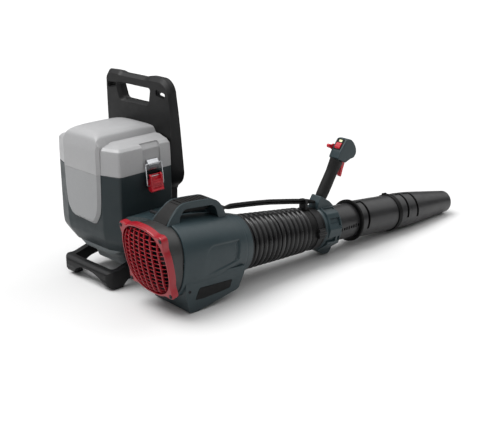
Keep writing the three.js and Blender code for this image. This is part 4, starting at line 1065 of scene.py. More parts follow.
def housing():
    seg = 300
    keys = [12, 12.6, 13.6] + list(np.arange(15, 236, 1.9)) + [236.5, 237.5, 238]
    rows = curve(HOUSING, keys)
    outer = []
    for y, (a, n) in zip(keys, rows):
        d = 0.9 if y in (12, 238) else (0.25 if y in (12.6, 237.5) else 0)
        outer.append(y_ring(a - d, n, y, seg))
    co = np.array([p for r in outer for p in r])
    nrm = co.copy(); nrm[:, 1] = 0; nrm /= np.linalg.norm(nrm, axis=1)[:, None]
    push = np.zeros(len(co))
    yz = co[:, [1, 2]]
    side = co[:, 0] > 0
    # inset panel on the outboard side, with a deeper slot along its front edge
    panel = fillet([(78, 42), (188, 40), (182, -10), (66, -36)], [30, 6, 8, 10], 6)
    push += np.where(side, 2.3 * sstep(-poly_sdf(yz, panel), 0.0, 2.6) * sstep(co[:, 1], 66, 120), 0)
    slot = fillet([(172, 32), (189, 41), (183, -10), (169, -9)], 3, 4)
    push += np.where(side, 2.2 * sstep(-poly_sdf(yz, slot), 0.0, 2.2), 0)
    # the same panel on the inboard side, where the bracket leaves room
    push += np.where(~side, 1.5 * sstep(-poly_sdf(yz, fillet([(176, 30), (212, 27), (208, -22), (172, -30)], 6, 5)), 0.0, 3), 0)
    # shut line round the housing
    push += 0.7 * np.exp(-((co[:, 1] - 214) / 1.0) ** 2)
    co -= nrm * push[:, None]
    outer = co.reshape(len(outer), seg, 3).tolist()
    inner = [y_ring(a - 4, n, y, seg) for y, (a, n) in zip(keys, rows)][::12]
    inner = [y_ring(rows[0][0] - 4, rows[0][1], 12, seg)] + inner[1:] + [y_ring(71, 2, 238, seg)]
    rings = outer + inner[::-1]
    n, R = seg, len(rings)
    verts = [p for r in rings for p in r]
    faces = [(k * n + i, k * n + (i + 1) % n, ((k + 1) % R) * n + (i + 1) % n, ((k + 1) % R) * n + i) for k in range(R) for i in range(n)]
    o = new_obj("blower_housing_v", verts, faces)
    shade(o, 42, False)
    finish(o, "slate", "blower_housing", at=BLO)
    # dark ring between housing and grille
    seg = 160
    def mixr(A, B, t):
        return [tuple(a * (1 - t) + b * t for a, b in zip(p, q)) for p, q in zip(A, B)]
    A, B = face_ring(86, SQ_N, 14.3, seg), y_ring(86.5, SQ_N, 11.7, seg)
    A0, B0 = face_ring(84.8, SQ_N, 14.3, seg), y_ring(85.3, SQ_N, 11.7, seg)
    Ai, Bi = face_ring(80, SQ_N, 14.3, seg), y_ring(81.5, SQ_N, 11.7, seg)
    rings = [A0, mixr(A, B, 0.05)] + [mixr(A, B, t) for t in (0.2, 0.4, 0.6, 0.8)] + [mixr(A, B, 0.95), B0, Bi, mixr(Bi, Ai, 0.5), Ai]
    R = len(rings)
    verts = [p for r in rings for p in r]
    faces = [(k * seg + i, k * seg + (i + 1) % seg, ((k + 1) % R) * seg + (i + 1) % seg, ((k + 1) % R) * seg + i) for k in range(R) for i in range(seg)]
    o = new_obj("inlet_band_v", verts, faces)
    shade(o, 40, False)
    finish(o, "band", "inlet_band", at=BLO)


housing()


def grille():
    HW, LX, LZ = 89, 77, 72
    seg = 240
    la = math.atan2(LZ, LX)

    def rim(a, grow):
        out = []
        for x, z in sq(a, SQ_N, seg):
            t = math.atan2(z, x)
            k = sum(math.exp(-abs(math.remainder(t - q, 2 * math.pi) / math.radians(8.6)) ** 2.4) for q in (la, math.pi - la, math.pi + la, -la))
            r = math.hypot(x, z)
            out.append(((r + grow * k) * x / r, (r + grow * k) * z / r))
        return out

    o = loft("inlet_grille_v", [[(x, y, z) for x, z in rim(a, b)] for a, b, y in ((HW - 3.6, 15.2, -3), (HW - 2.2, 15.8, -2.6), (HW - 0.9, 16.2, -1.6), (HW, 16.6, 0.4), (HW, 16.6, 10), (HW - 0.6, 16.2, 14))])
    cut(o, prism("c", sq(HW - 5.5, SQ_N, seg), -10, 16, "y"))
    for sx in (-1, 1):
        for sz in (-1, 1):
            cut(o, move(rod("c", 3.2, -8, 30, 24), tr(sx * LX, 0, sz * LZ)), move(rod("c", 6.2, -8, -2.2, 28), tr(sx * LX, 0, sz * LZ)))
    clean(o, 0.02, 0)
    shade(o, 36)
    # domed lattice: seven bowed ribs and close cross slats, each a rounded bar
    A, N = 85.0, 2.4
    def dome(x, z):
        k = (abs(x) ** N + abs(z) ** N) ** (1 / N) / A
        return float(np.interp(k, [0.0, 0.25, 0.5, 0.7, 0.86, 1.0], [-16.6, -16.0, -14, -11.0, -7.5, 2]))
    bars = []
    def sweep(points, w, y0, y1, across):
        rings = []
        for i, (x, z) in enumerate(points):
            y = dome(x, z)
            if across == "x":
                sec = [(-w, y0 + 0.8), (-w * 0.5, y0), (w * 0.5, y0), (w, y0 + 0.8), (w * 0.8, y1), (-w * 0.8, y1)]
                rings.append([(x + u, y + v, z) for u, v in sec])
            else:
                sec = [(-w, y0 + 0.7), (-w * 0.5, y0), (w * 0.5, y0), (w, y0 + 0.7), (w, y1), (-w, y1)]
                rings.append([(x, y + v, z + u) for u, v in sec])
        bars.append(loft("bar", rings))
    for i in range(-3, 4):
        x0 = i * 22.0
        pts = []
        for z in np.linspace(-86, 86, 43):
            x = x0 * (1 - 0.20 * (z / 84) ** 2)
            if (abs(x) ** N + abs(z) ** N) ** (1 / N) < 84.5:
                pts.append((x, z))
        sweep(pts, 1.25, 0.0, 5.4, "x")
    for j in range(-7, 8):
        z = j * 10.6
        xm = max(0.0, 84.0 ** N - abs(z) ** N) ** (1 / N)
        pts = [(x, z) for x in np.linspace(-xm, xm, 33)]
        sweep(pts, 0.7, 2.0, 4.2, "z")
    merge(o, *bars)
    shade(o, 50, False)
    finish(o, "grille", "inlet_grille", at=FAC)
    k = 1
    for sx in (-1, 1):
        for sz in (1, -1):
            s = revolve("s", [(0, -5.4), (3.6, -5.4), (4.7, -4.9), (5, -4.2), (5, -3.3), (2.9, -3.3), (2.9, 11.6), (2.4, 12), (0, 12)], 28)
            cut(s, move(rod("c", 1.9, -7, -3.9, 6), tr(0, 0, 0)))
            move(s, tr(sx * LX, 0.9, sz * LZ))
            shade(s, 30, False)
            finish(s, "dark_steel", f"grille_screw_{k}", at=FAC)
            k += 1


grille()


def base():
    side = fillet([(20, -30), (202, -26), (202, -42), (193, -86), (187, -89.5), (72, -126.6), (58, -127.9), (52, -125.6), (24, -62)], [0, 0, 8, 5, 5, 8, 5, 4, 10], 4)
    end = fillet([(-86, -20), (-86, -44), (-68, -129), (68, -129), (86, -44), (86, -20)], [0, 10, 7, 7, 10, 0], 4)
    o = both(prism("base_block_v", side, -100, 100, "x"), prism("e", end, 0, 230, "y"))
    clean(o, 0.02, 0.3)
    bevel(o, 3.0, 3, 30)
    cut(o, envelope(0.3))
    lip = fillet([(66, -60), (166, -56), (164, -79), (58, -97)], 5, 5)
    cut(o, prism("c", lip, 76.4, 100, "x"))
    ax = rot("Y", 12)
    cut(o, move(rod("c", 4.4, -3.4, 12, 24), tr(82.2, 38, -66) @ ax @ rot("Z", -90)))
    clean(o, 0.02, 0)
    shade(o, 32)
    finish(o, "slate", "base_block", at=BLO)
    softened("side_plate", "dark", 0.5, 2, BLO)
    s = revolve("block_screw_v", [(0, -2.6), (3.2, -2.6), (3.8, -2.2), (4, -1.6), (4, 0.2), (3.6, 0.4), (0, 0.4)], 28)
    cut(s, rod("c", 1.8, -1.2, 2, 6))
    shade(s, 30, False)
    move(s, tr(82.2, 38, -66) @ ax @ rot("Z", -90))
    finish(s, "dark_steel", "block_screw", at=BLO)


base()


def carry():
    outer = fillet([(-4, 70), (-2, 82), (12, 101), (34, 124), (50, 132.5), (86, 134.5), (138, 134.5), (160, 124.5), (177, 103), (192, 72), (192, 60), (-4, 60)], [0, 8, 10, 14, 12, 20, 14, 12, 12, 0, 0, 0], 5)
    hole = fillet([(35, 74), (42, 98), (53, 115), (60, 118), (138, 118.5), (149, 112.5), (156, 98), (164, 74)], [8, 8, 8, 5, 8, 8, 8, 8], 5)
    def flare_of(d=0.0):
        rows = curve([(58, 33, -6, 34), (84, 32, 2, 36), (112, 26.5, 23, 44), (128, 24, 44, 56)], [58, 70, 84, 94, 103, 112, 120, 128])
        return loft("fl", [[(-w - d, y0, z), (w + d, y0, z), (w + d, y1, z), (-w - d, y1, z)] for z, (w, y0, y1) in zip([58, 70, 84, 94, 103, 112, 120, 128], rows)])
    body = prism("carry_handle_v", outer, -24, 24, "x")
    fl = both(flare_of(), prism("o", outer, -40, 40, "x"))
    join(body, fl)
    cut(body, prism("c", hole, -50, 50, "x"))
    clean(body, 0.02, 0.3)
    bevel(body, 3.4, 3, 30)
    cut(body, envelope(0.3))
    line = [(-16, 66), (1.5, 74), (4.5, 84), (16.5, 99.5), (37.5, 121), (51.5, 128.3), (86, 130), (138, 130.2), (154, 122.5), (161, 145), (161, 170), (-40, 170), (-40, 66)]
    def tray(d):
        return loft("t", [[(-w, -45, z), (w, -45, z), (w, 175, z), (-w, 175, z)] for z, w in ((60, 28 + d), (70, 28 + d), (84, 27 + d), (112, 21.5 + d), (128, 19 + d), (150, 19 + d))])
    cap = copy_of(body, "handle_cap_v")
    both(cap, tray(0.0))
    both(cap, prism("l", line, -40, 40, "x"))
    cut(body, both(prism("l", [(y, z - 0.3) for y, z in line], -41, 41, "x"), tray(0.3)))
    clean(body, 0.02, 0)
    shade(body, 34)
    finish(body, "slate", "carry_handle", at=BLO)
    # transverse grip grooves along the top
    cuts = []
    for y in np.arange(40, 146, 9.5):
        cuts.append(prism("c", fillet(rect(y, y + 3.2, 132.4 if 52 < y < 135 else 127.5, 150), 0.6, 2), -15.5, 15.5, "x"))
    cut(cap, *cuts)
    clean(cap, 0.02, 0)
    shade(cap, 30)
    finish(cap, "overmould", "handle_cap", at=BLO)
    # soft finger swell under the inboard half of the grip
    w = prism("w", fillet([(47, 119.2), (51, 106), (62, 100.5), (134, 98.5), (150, 101), (156, 110), (147, 119.2)], [0, 8, 8, 8, 6, 3, 0], 6), -23.4, -2, "x")
    bevel(w, 3.4, 4, 30)
    shade(w, 40)
    finish(w, "overmould", (), "pack", at=BLO, name="handle_underside")
    # raised duct over the housing, inboard of the handle
    d = prism("d", fillet([(-27, 70), (-27, 92), (-36, 95.5), (-52, 93), (-66, 84), (-78, 66)], [0, 5, 6, 8, 8, 0], 6), 118, 188, "y")
    bevel(d, 3.0, 3, 30)
    cut(d, envelope(-0.4))
    clean(d, 0.02, 0)
    shade(d, 36)
    finish(d, "slate", (), "pack", at=BLO, name="housing_duct")


carry()


def bracket():
    o = from_node("mount_bracket")
    bevel(o, 1.6, 3, 30)
    shade(o, 34)
    finish(o, "slate", "mount_bracket")
    p = join(rod("lock_pin_v", 4, -12, 12), revolve("h", [(0, -15), (5.2, -15), (6, -14.2), (6, -9.8), (5.2, -9), (0, -9)], 32))
    move(p, tr(-54, 26, 95) @ rot("Z", 90))
    shade(p, 34)
    finish(p, "dark_steel", "lock_pin", at=BLO)


bracket()


def drive():
    o = revolve("fan_rotor_v", [(0, 20), (9, 20.2), (18, 21.5), (24, 24), (28, 27.5), (31.5, 32), (33, 37), (33, 56), (4, 56), (4, 66), (0, 66)], 64)
    blades = []
    for i in range(9):
        rings = []
        for k in range(9):
            t = k / 8
            rad = 30 + t * 47
            a = math.radians(52 - 24 * t)
            c, th = 12 + 5 * t, 1.7 - 0.7 * t
            ca, sa = math.cos(a), math.sin(a)
            sec = [(-c, 0), (-c * 0.5, th), (c * 0.3, th), (c, 0.1), (c * 0.3, -th * 0.6), (-c * 0.5, -th * 0.6)]
            rings.append([(u * ca - v * sa, 42 + u * sa + v * ca, rad) for u, v in sec])
        blades.append(move(loft("bl", rings), rot("Y", i * 40)))
    merge(o, *blades)
    shade(o, 40, False)
    finish(o, "black", "fan_rotor", at=BLO)
    m = revolve("motor_v", [(0, 58), (22, 58), (24, 59), (30, 62)] + [q for y in range(66, 124, 6) for q in ((30, y), (28.6, y + 1), (28.6, y + 3), (30, y + 4))] + [(30, 128), (27, 133), (22, 140), (12, 144), (0, 146)], 64)
    cut(m, rod("c", 4.4, 50, 68, 24))
    shade(m, 30)
    finish(m, "aluminium", "motor", at=BLO)
    o = softened("stator", "black", 0, 0, BLO)
    c = revolve("outlet_collar_v", [(66, 222), (70, 222), (70.7, 222.7), (70.7, 238.3), (73.3, 238.5), (74, 239.2), (74, 242.1), (73.4, 242.7), (66, 242.7)], 128)
    shade(c, 30)
    finish(c, "black", "outlet_collar", at=BLO)


drive()

# ================================================================ hose
HY0, HMID, HY1, PITCH = 243.0, 352.0, 462.0, 17.1


def hose_r(y):
    return 72 + (61.5 - 72) * (y - HY0) / (HY1 - HY0)


def bellows_profile(y0, y1, first, count, pitch, neck0=None, neck1=None):
    """Rounded rings with deep narrow valleys, then the inner skin back to the start."""
    out = [(hose_r(y0) - 7, y0)]
    for k in range(count):
        c = first + k * pitch
        for f, d in ((-0.5, 8.4), (-0.44, 8.2), (-0.38, 7.4), (-0.31, 5.7), (-0.24, 3.5), (-0.17, 1.7), (-0.09, 0.45), (0, 0), (0.09, 0.45), (0.17, 1.7), (0.24, 3.5), (0.31, 5.7), (0.38, 7.4), (0.44, 8.2)):
            y = c + f * pitch
            if y0 + 0.4 < y < y1 - 0.4:
                out.append((hose_r(y) - d, y))
    out.append((hose_r(y1) - 7, y1))
    n = 28
    for k in range(n + 1):
        y = y1 + (y0 - y1) * k / n
        out.append((hose_r(y) - 10.5, y))
    return out


def hose():
    o = revolve("bellows_rear_v", bellows_profile(HY0, HMID - 9, 254.6, 6, PITCH * 0.985), 112)
    shade(o, 60, False)
    finish(o, "hose", "bellows_rear", body="-", at=BLO)
    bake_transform(o, "pack", "hose_mid", start=pb(0, HY0, 0), end=pb(0, HMID - 9, 0))
    r = hose_r(HMID)
    o = revolve("bellows_ring_v", [(r - 10.5, HMID - 8.7), (r - 7, HMID - 8.7), (r - 6.4, HMID - 7.0), (r - 4.6, HMID - 6.2), (r - 2.4, HMID - 5.5), (r - 0.8, HMID - 4.6), (r - 0.1, HMID - 3), (r, HMID), (r - 0.1, HMID + 3), (r - 0.8, HMID + 4.6), (r - 2.4, HMID + 5.5), (r - 4.6, HMID + 6.2), (r - 6.4, HMID + 7.0), (r - 7, HMID + 8.7), (r - 10.5, HMID + 8.7)], 112)
    shade(o, 60, False)
    finish(o, "hose", "bellows_ring", at=BLO)
    o = revolve("bellows_front_v", bellows_profile(HMID + 9, HY1, 369.8, 6, PITCH * 0.985), 112)
    shade(o, 60, False)
    finish(o, "hose", "bellows_front", body="-", at=BLO)
    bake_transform(o, "hose_mid", "tube", start=pb(0, HMID + 9, 0), end=pb(0, HY1, 0))
    cuff = [(48.9, HY1 + 0.3), (54.4, HY1 + 0.3), (55, HY1 + 1), (56.4, 467), (57, 469.5), (57, 474), (56.4, 474.6), (56.4, 477.4), (57, 478), (57, 504), (56.3, 504.7), (56.3, 507), (57, 507.6), (57, 511.2), (56.2, 512), (48.9, 512)]
    o = revolve("hose_cuff_v", cuff, 112)
    shade(o, 40, False)
    finish(o, "rubber", "hose_cuff", at=BLO)
    b = revolve("cuff_strap_v", [(57.3, 484), (58.6, 484), (59, 484.5), (59, 499.5), (58.6, 500), (57.3, 500)], 112)
    blk = prism("k", fillet(rect(56, 65.6, -13, 13), 3, 4), 481, 503, "y")
    cut(blk, rod("c", 57.3, 470, 512, 112))
    bevel(blk, 0.9, 2)
    cut(blk, *[box("c", 64.6, 70, 480, 504, z, z + 1.6) for z in (-8, -3.4, 1.2, 5.8)])
    move(blk, rot("Y", -2))
    join(b, blk)
    j = rod("j", 4, 478, 507, 28)
    bevel(j, 0.8, 2)
    move(j, rot("Y", -2) @ tr(64, 0, 0))
    join(b, j)
    clean(b, 0.02, 0)
    shade(b, 34)
    finish(b, "black", "cuff_strap", at=BLO)


hose()

# ================================================================ control handle
G0, GD, GL = (541.0, 82.0), (0.46, 0.888), 108.0


def gp(u, v):
    return (G0[0] + GD[0] * u + GD[1] * v, G0[1] + GD[1] * u - GD[0] * v)


def handle():
    C0, C1 = 514, 577
    bore = lambda: rod("c", 48.9, 400, 700, 112)
    o = revolve("handle_clamp_v", [(48.9, C0), (55.4, C0), (56.4, C0 + 1), (58.0, C0 + 3), (58.5, C0 + 5), (58.5, C1 - 5), (58.0, C1 - 3), (56.4, C1 - 1), (55.4, C1), (48.9, C1)], 112)
    top = prism("t", fillet([(514, 40), (577, 40), (577, 58), gp(-0.3, 21), gp(-0.3, -18.5), (514, 72)], [0, 0, 8, 3, 4, 4], 4), -18, 18, "x")
    bevel(top, 2.6, 3)
    low = prism("t", fillet([(517, -40), (519, -57), (540, -71), (557, -79), (579, -79), (589, -62), (577, -40)], [0, 4, 6, 6, 8, 8, 0], 4), -14, 14, "x")
    bevel(low, 2.2, 3)
    cut(low, box("c", -1.0, 1.0, 500, 600, -90, -58))
    for t in (top, low):
        join(o, cut(t, bore()))
    sleeve = prism("s", fillet([(61.2 / math.cos(math.pi / 9) * math.cos(math.radians(a)), 61.2 / math.cos(math.pi / 9) * math.sin(math.radians(a))) for a in range(7, 360, 40)], 3, 3), C0 + 9, C1 - 8, "y")
    bevel(sleeve, 1.6, 2)
    join(o, cut(sleeve, bore()))
    cut(o, sector("c", 57.0, 70, 558, 566, 14, 35, 8), sector("c", 58.2, 70, 530, 558, 21, 35, 8))
    cut(o, sector("c", 57.0, 70, 519, 552, -27, -14, 8), sector("c", 57.0, 70, 558, 566, -26, -14, 6))
    cut(o, sector("c", 58.4, 70, 528, 566, 60, 68, 4), sector("c", 58.4, 70, 528, 566, 196, 214, 6), sector("c", 57.4, 70, 530, 564, 236, 252, 6), sector("c", 57.4, 70, 530, 564, 150, 166, 6))
    clean(o, 0.02, 0)
    shade(o, 32)
    finish(o, "slate", "handle_clamp", at=BLO)
    # grip: oval, waisted, with a moulded palm swell
    rows = curve([(0, 14, 16.5, 16.5), (8, 15, 17.2, 17.4), (40, 15.3, 17.2, 17.6), (70, 15, 16.6, 18), (90, 15.4, 18.2, 20.4), (GL, 16, 20.5, 23)], np.linspace(0, GL, 37))
    rings = []
    for u, (rx, rf, rb) in zip(np.linspace(0, GL, 37), rows):
        rings.append([(rx * math.cos(t), *gp(u, (rf if math.sin(t) > 0 else rb) * math.sin(t))) for t in [2 * math.pi * i / 48 for i in range(48)]])
    o = loft("control_grip_v", rings)
    cut(o, box("c", -6.4, 6.4, 600.5, 640, 128, 200))
    clean(o, 0.02, 0)
    shade(o, 50, False)
    finish(o, "overmould", "control_grip", at=BLO)
    # head
    bn, bc = (-0.836, 0.5487), (592.5, 218.9)
    def bp(t, d):
        return (bc[0] + bn[1] * t + bn[0] * d, bc[1] - bn[0] * t + bn[1] * d)
    yz = fillet([gp(GL + 0.3, -17.5), gp(GL + 4, 19), (628, 182), (641, 184), (649, 194), (649, 207), (640, 224), (625, 237), (605, 238), (584, 206)], [5, 0, 7, 5, 7, 9, 9, 9, 6, 6], 5)
    o = prism("control_head_v", yz, -17.5, 17.5, "x")
    clean(o, 0.02, 0.2)
    bevel(o, 4.6, 4, 40)
    cut(o, box("c", -6.4, 6.4, 596, 624, 150, 190))
    cut(o, prism("c", [bp(-9.5, -6), bp(9.5, -6), bp(9.5, 8), bp(-9.5, 8)], -9.4, 9.4, "x"))
    cut(o, prism("c", [bp(11.2, -3), bp(18.8, -3), bp(18.8, 8), bp(11.2, 8)], -5.8, 5.8, "x"))
    clean(o, 0.02, 0)
    shade(o, 32)
    finish(o, "slate", "control_head", at=BLO)
    b = prism("power_button_v", fillet([bp(-9, -4), bp(9, -4), bp(9, 2.4), bp(5, 3.6), bp(-5, 3.6), bp(-9, 2.4)], [0, 0, 2, 3, 3, 2], 4), -9, 9, "x")
    bevel(b, 1.1, 3)
    shade(b)
    finish(b, "red", "power_button", at=BLO)
    l = prism("led_lens_v", fillet([bp(11.5, -2.7), bp(18.5, -2.7), bp(18.5, 0.2), bp(17.7, 0.8), bp(12.3, 0.8), bp(11.5, 0.2)], [0, 0, 0.4, 0.4, 0.4, 0.4], 3), -5.5, 5.5, "x")
    bevel(l, 0.4, 2)
    shade(l)
    finish(l, "lens", "led_lens", at=BLO)
    # dark bezel round the button and the lens
    z = prism("head_bezel", fillet([bp(-11.5, 0.02), bp(21, 0.02), bp(21, 0.7), bp(-11.5, 0.7)], 0, 1), -12, 12, "x")
    cut(z, prism("c", [bp(-9.5, -3), bp(9.5, -3), bp(9.5, 8), bp(-9.5, 8)], -9.4, 9.4, "x"), prism("c", [bp(11.2, -3), bp(18.8, -3), bp(18.8, 8), bp(11.2, 8)], -5.8, 5.8, "x"))
    bevel(z, 0.25, 2)
    shade(z)
    finish(z, "dark", (), "tube", at=BLO, name="head_bezel")
    t = prism("trigger_v", fillet([(607, 184), (618, 184), (618.5, 168), (613, 151), (610, 135), (607.5, 132), (603.5, 135), (604.5, 151), (606.8, 166)], [0, 0, 4, 10, 2, 3, 3, 10, 6], 5), -5.8, 5.8, "x")
    bevel(t, 1.8, 3)
    shade(t)
    finish(t, "red", "trigger", at=BLO)
    s = move(rod("speed_lever_v", 8.5, 17.8, 22, 40), tr(0, 594, 212) @ rot("Z", 90))
    join(s, prism("f", fillet([(592, 206), (594, 217), (581, 220.5), (575.5, 220), (575, 213), (580, 210)], [2, 2, 2, 2.5, 2.5, 2], 4), -27, -18, "x"))
    clean(s)
    bevel(s, 0.9, 2)
    shade(s)
    finish(s, "red", "speed_lever", at=BLO)


handle()


# ================================================================ tubes
# groove records for the black sheets of painted shade laid on the groove floors
GROOVE_SHADE_SHEETS, ARC_GROOVE_SHADE_SHEETS = [], []


def arc_on(o, r, table, depth=1.5):
    cut(o, slanted("c", r - depth, r + 6, table))
    ARC_GROOVE_SHADE_SHEETS.append((o.name, r - depth - 0.05, table))


def groove_on(o, r, y0, y1, a0, a1, depth=1.5):
    n = max(6, int(abs(a1 - a0) / 2.8))
    cut(o, sector("c", r - depth, r + 6, y0, y1, a0, a1, n))
    GROOVE_SHADE_SHEETS.append((o.name, r - depth - 0.05, y0, y1, a0, a1, n))


def tubes():
    o = revolve("inner_tube_v", [(46.1, 470), (48.1, 470), (48.6, 470.6), (48.6, 747.4), (48.1, 748), (46.1, 748)], 128)
    cut(o, *[sector("c", 47.6, 52, *m, 4) for m in MARKS])
    clean(o, 0.02, 0)
    shade(o, 30)
    finish(o, "tube", "inner_tube", at=BLO)
    FL = 658
    prof = [(49, FL), (55.6, FL), (56.8, FL + 0.7), (57.8, FL + 2), (58, FL + 3.4), (58, FL + 6), (57.4, FL + 7.2), (54.4, FL + 8.6), (52.8, FL + 10), (52.55, FL + 12), (51, 829), (51, 841.7), (49, 841.7)]
    o = revolve("outer_tube_v", prof, 128)
    for g in OUTER_GROOVES:
        groove_on(o, 52.3, *g)
    arc_on(o, 52.3, [(-18, 686.6, 695.2), (8, 689.2, 697.8), (34, 691.0, 699.6), (79, 691.4, 700.0)])
    clean(o, 0.02, 0)
    shade(o, 30)
    finish(o, "tube", "outer_tube", at=BLO)
    s = revolve("seal_ring_v", [(50.9, 823.6), (53.0, 823.6), (53.9, 824.6), (54.2, 827), (54.2, 835), (53.9, 837.4), (53.0, 838.4), (50.9, 838.4)], 128)
    e = prism("e", fillet([(826.5, 52), (826.5, 56.5), (829, 57.6), (834, 57.6), (836.5, 55.5), (836.5, 52)], [0, 1, 1.4, 1.4, 1, 0], 4), -6, 6, "x")
    bevel(e, 0.8, 2)
    move(e, rot("Y", -20))
    join(s, e)
    clean(s, 0.02, 0)
    shade(s, 34)
    finish(s, "seal", "seal_ring", at=BLO)
    a = revolve("nozzle_adapter_v", [(46.2, 814), (47.6, 814), (48.1, 814.6), (48.1, 842), (50.8, 842), (51.2, 842.5), (51.7, 850), (52, 860), (52, 870), (51.8, 878), (51.1, 879), (51.1, 881), (51.5, 882), (50.9, 898), (50, 915.6), (49.6, 916), (46.2, 916)], 128)
    for g in ADAPTER_GROOVES:
        groove_on(a, 51.8, *g)
    arc_on(a, 51.8, [(-8, 860.0, 868.6), (28, 863.2, 871.8), (56, 864.8, 873.4), (85, 864.8, 873.4)])
    clean(a, 0.02, 0)
    shade(a, 30)
    finish(a, "tube", "nozzle_adapter", at=BLO)
    rows = curve([(916.3, 49.9), (948, 47.2), (1094, 33)], list(np.linspace(916.3, 1094, 40)))
    c = revolve("nozzle_cone_v", [(46.2, 916.3)] + [(float(r[0]), y) for y, r in zip(np.linspace(916.3, 1094, 40), rows)] + [(32.6, 1095.4), (31.8, 1096), (30.6, 1095.8), (30.2, 1094.6)] + [(30.2 + (46.2 - 30.2) * k / 8, 1094.6 - (1094.6 - 918) * k / 8) for k in range(1, 8)], 128)
    shade(c, 32)
    finish(c, "tube", "nozzle_cone", at=BLO)


OUTER_GROOVES = [(676, 700, 76, 84.5)]
ADAPTER_GROOVES = [(852.4, 873.4, 82, 90), (886.4, 914.9, 80, 88), (906.6, 914.9, -12, 83)]
# a row of bars and dots along the inner tube, sunk into it: y0, y1 and the two angles of each
MARKS = []
for _k in range(8):
    _y, _h = 584.0 + _k * 9.2, (6.4, 4.4, 5.4)[_k % 3]
    _c = -5.6 + 0.108 * (_y - 584.0)
    MARKS.append((_y, _y + (5.0, 6.4, 5.6)[_k % 3], _c - _h, _c + _h))
tubes()


def tube_details():
    # dark lip on the end of the sliding tube
    c = revolve("tube_lip", [(49.4, 657.2), (57.2, 657.2), (58.3, 658), (58.6, 660), (58.6, 663.4), (58.1, 664.6), (57.6, 664.6), (57.6, 658.4), (49.4, 658.0)], 128)
    shade(c, 40, False)
    finish(c, "seal", (), "outer", at=BLO, name="tube_lip")
    # floor of the position marks
    parts = [sector("m", 47.2, 47.8, y0 + 0.1, y1 - 0.1, a0 + 0.1, a1 - 0.1, 4) for y0, y1, a0, a1 in MARKS]
    m = merge(parts[0], *parts[1:])
    shade(m, 40)
    finish(m, "groove", (), "tube", at=BLO, name="tube_marks")
    # black sheets on the groove floors: painted shade in the grooves
    for tag, body in (("outer_tube_v", "outer"), ("nozzle_adapter_v", "nozzle")):
        q = [sector("g", r - 0.4, r + 0.12, y0 + 0.15, y1 - 0.15, a0 + 0.2, a1 - 0.2, n) for t, r, y0, y1, a0, a1, n in GROOVE_SHADE_SHEETS if t == tag]
        q += [slanted("g", r - 0.4, r + 0.12, table, d=0.15) for t, r, table in ARC_GROOVE_SHADE_SHEETS if t == tag]
        g = merge(q[0], *q[1:])
        shade(g, 40)
        finish(g, "groove", (), body, at=BLO, name=tag.replace("_v", "_slot"))


tube_details()


# ================================================================ control lead
def cables():
    path = smooth_path([(190.6, 98), (218, 98.4), (250, 97.6), (285, 96.2), (320, 94.4), (352, 92.2), (385, 88.8), (420, 85), (455, 80.8), (485, 76.6), (513.2, 73)], 6)
    k = min(range(len(path)), key=lambda i: abs(path[i][0] - 352))
    def run(pts, name):
        parts = []
        for x, h in ((1.3, 3.75), (-1.3, -3.75)):
            k = [min(1.0, (y - 190.6) / 25, (513.2 - y) / 25) for y, z in pts]
            parts.append(wire("w", [(x + math.copysign(2.9, x) * (1 - max(0, q)), y, z + h * max(0, q)) for (y, z), q in zip(pts, k)], 3.85, 20))
        web = []
        return merge(parts[0], parts[1])
    a = run(path[:k] + [(351.8, path[k][1])], "cable_rear_v")
    shade(a, 50, False)
    finish(a, "rubber", "cable_rear", body="-", at=BLO)
    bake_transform(a, "pack", "hose_mid", start=pb(0, 243, 98), end=pb(0, 343, 92.6))
    b = run([(352.2, path[k][1])] + path[k + 1:], "cable_front_v")
    shade(b, 50, False)
    finish(b, "rubber", "cable_front", body="-", at=BLO)
    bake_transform(b, "hose_mid", "tube", start=pb(0, 361, 91.5), end=pb(0, 462, 80))
    softened("cable_clip", "black", 0.7, 2, BLO)
    softened("cable_gland", "black", 1.6, 3, BLO)


cables()


# ---------------------------------------------------------------- whatever is still shown as CAD gets its material
REST = {
    "lid_hinge_pin": "steel", "latch_pin": "steel", "motor": "aluminium", "stator": "black", "fan_rotor": "black",
}
for n, o in NODES.items():
    if n not in DONE:
        o.data.materials.clear()
        o.data.materials.append(M[REST.get(n, "black")])


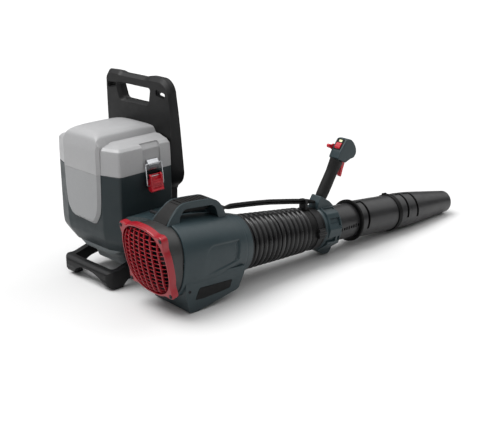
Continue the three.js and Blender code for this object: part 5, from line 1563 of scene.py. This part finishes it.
# ---------------------------------------------------------------- floor and soft studio light
def studio():
    n = Nodes("mat_floor")
    c = n.mix(n.ramp(n.noise(3, 3), 0.3, 0.7, 0, 1), lin(203, 203, 203), lin(206, 206, 206))
    n.link(c, n.bsdf.inputs["Base Color"])
    n.link(n.ramp(n.noise(60, 3), 0.3, 0.7, 0.85, 0.95), n.bsdf.inputs["Roughness"])
    n.set(Specular_IOR_Level=0.1)
    s = 30.0
    floor = new_obj("floor", [(-s, -s, -0.0005), (s, -s, -0.0005), (s, s, -0.0005), (-s, s, -0.0005)], [(0, 1, 2, 3)])
    floor.data.materials.append(n.mat)
    world = bpy.data.worlds.new("world")
    SCENE.world = world
    world.use_nodes = True
    t = world.node_tree
    t.nodes.clear()
    out = t.nodes.new("ShaderNodeOutputWorld")
    bg = t.nodes.new("ShaderNodeBackground")
    tc = t.nodes.new("ShaderNodeTexCoord")
    sep = t.nodes.new("ShaderNodeSeparateXYZ")
    rng = t.nodes.new("ShaderNodeMapRange")
    rng.interpolation_type = "SMOOTHSTEP"
    t.links.new(tc.outputs["Generated"], sep.inputs[0])
    t.links.new(sep.outputs["Z"], rng.inputs["Value"])
    rng.inputs["From Min"].default_value, rng.inputs["From Max"].default_value = 0.15, 1.0
    rng.inputs["To Min"].default_value, rng.inputs["To Max"].default_value = 0.08, 1.10
    t.links.new(rng.outputs[0], bg.inputs["Strength"])
    bg.inputs["Color"].default_value = (1, 1, 1, 1)
    t.links.new(bg.outputs[0], out.inputs[0])
    for name, direction, strength, size in (
        ("key", (-0.46, -0.46, 1.35), 2.95, 40),
        ("fill", (0.70, -0.45, 0.95), 0.42, 70),
        ("rim", (0.15, 0.9, 0.9), 0.6, 60),
    ):
        L = bpy.data.lights.new(name, "SUN")
        L.energy, L.angle = strength, math.radians(size)
        o = bpy.data.objects.new(name, L)
        SCENE.collection.objects.link(o)
        o.rotation_mode = "QUATERNION"
        o.rotation_quaternion = (-Vector(direction)).to_track_quat("-Z", "Y")
    SCENE.view_settings.view_transform = "Standard"


studio()
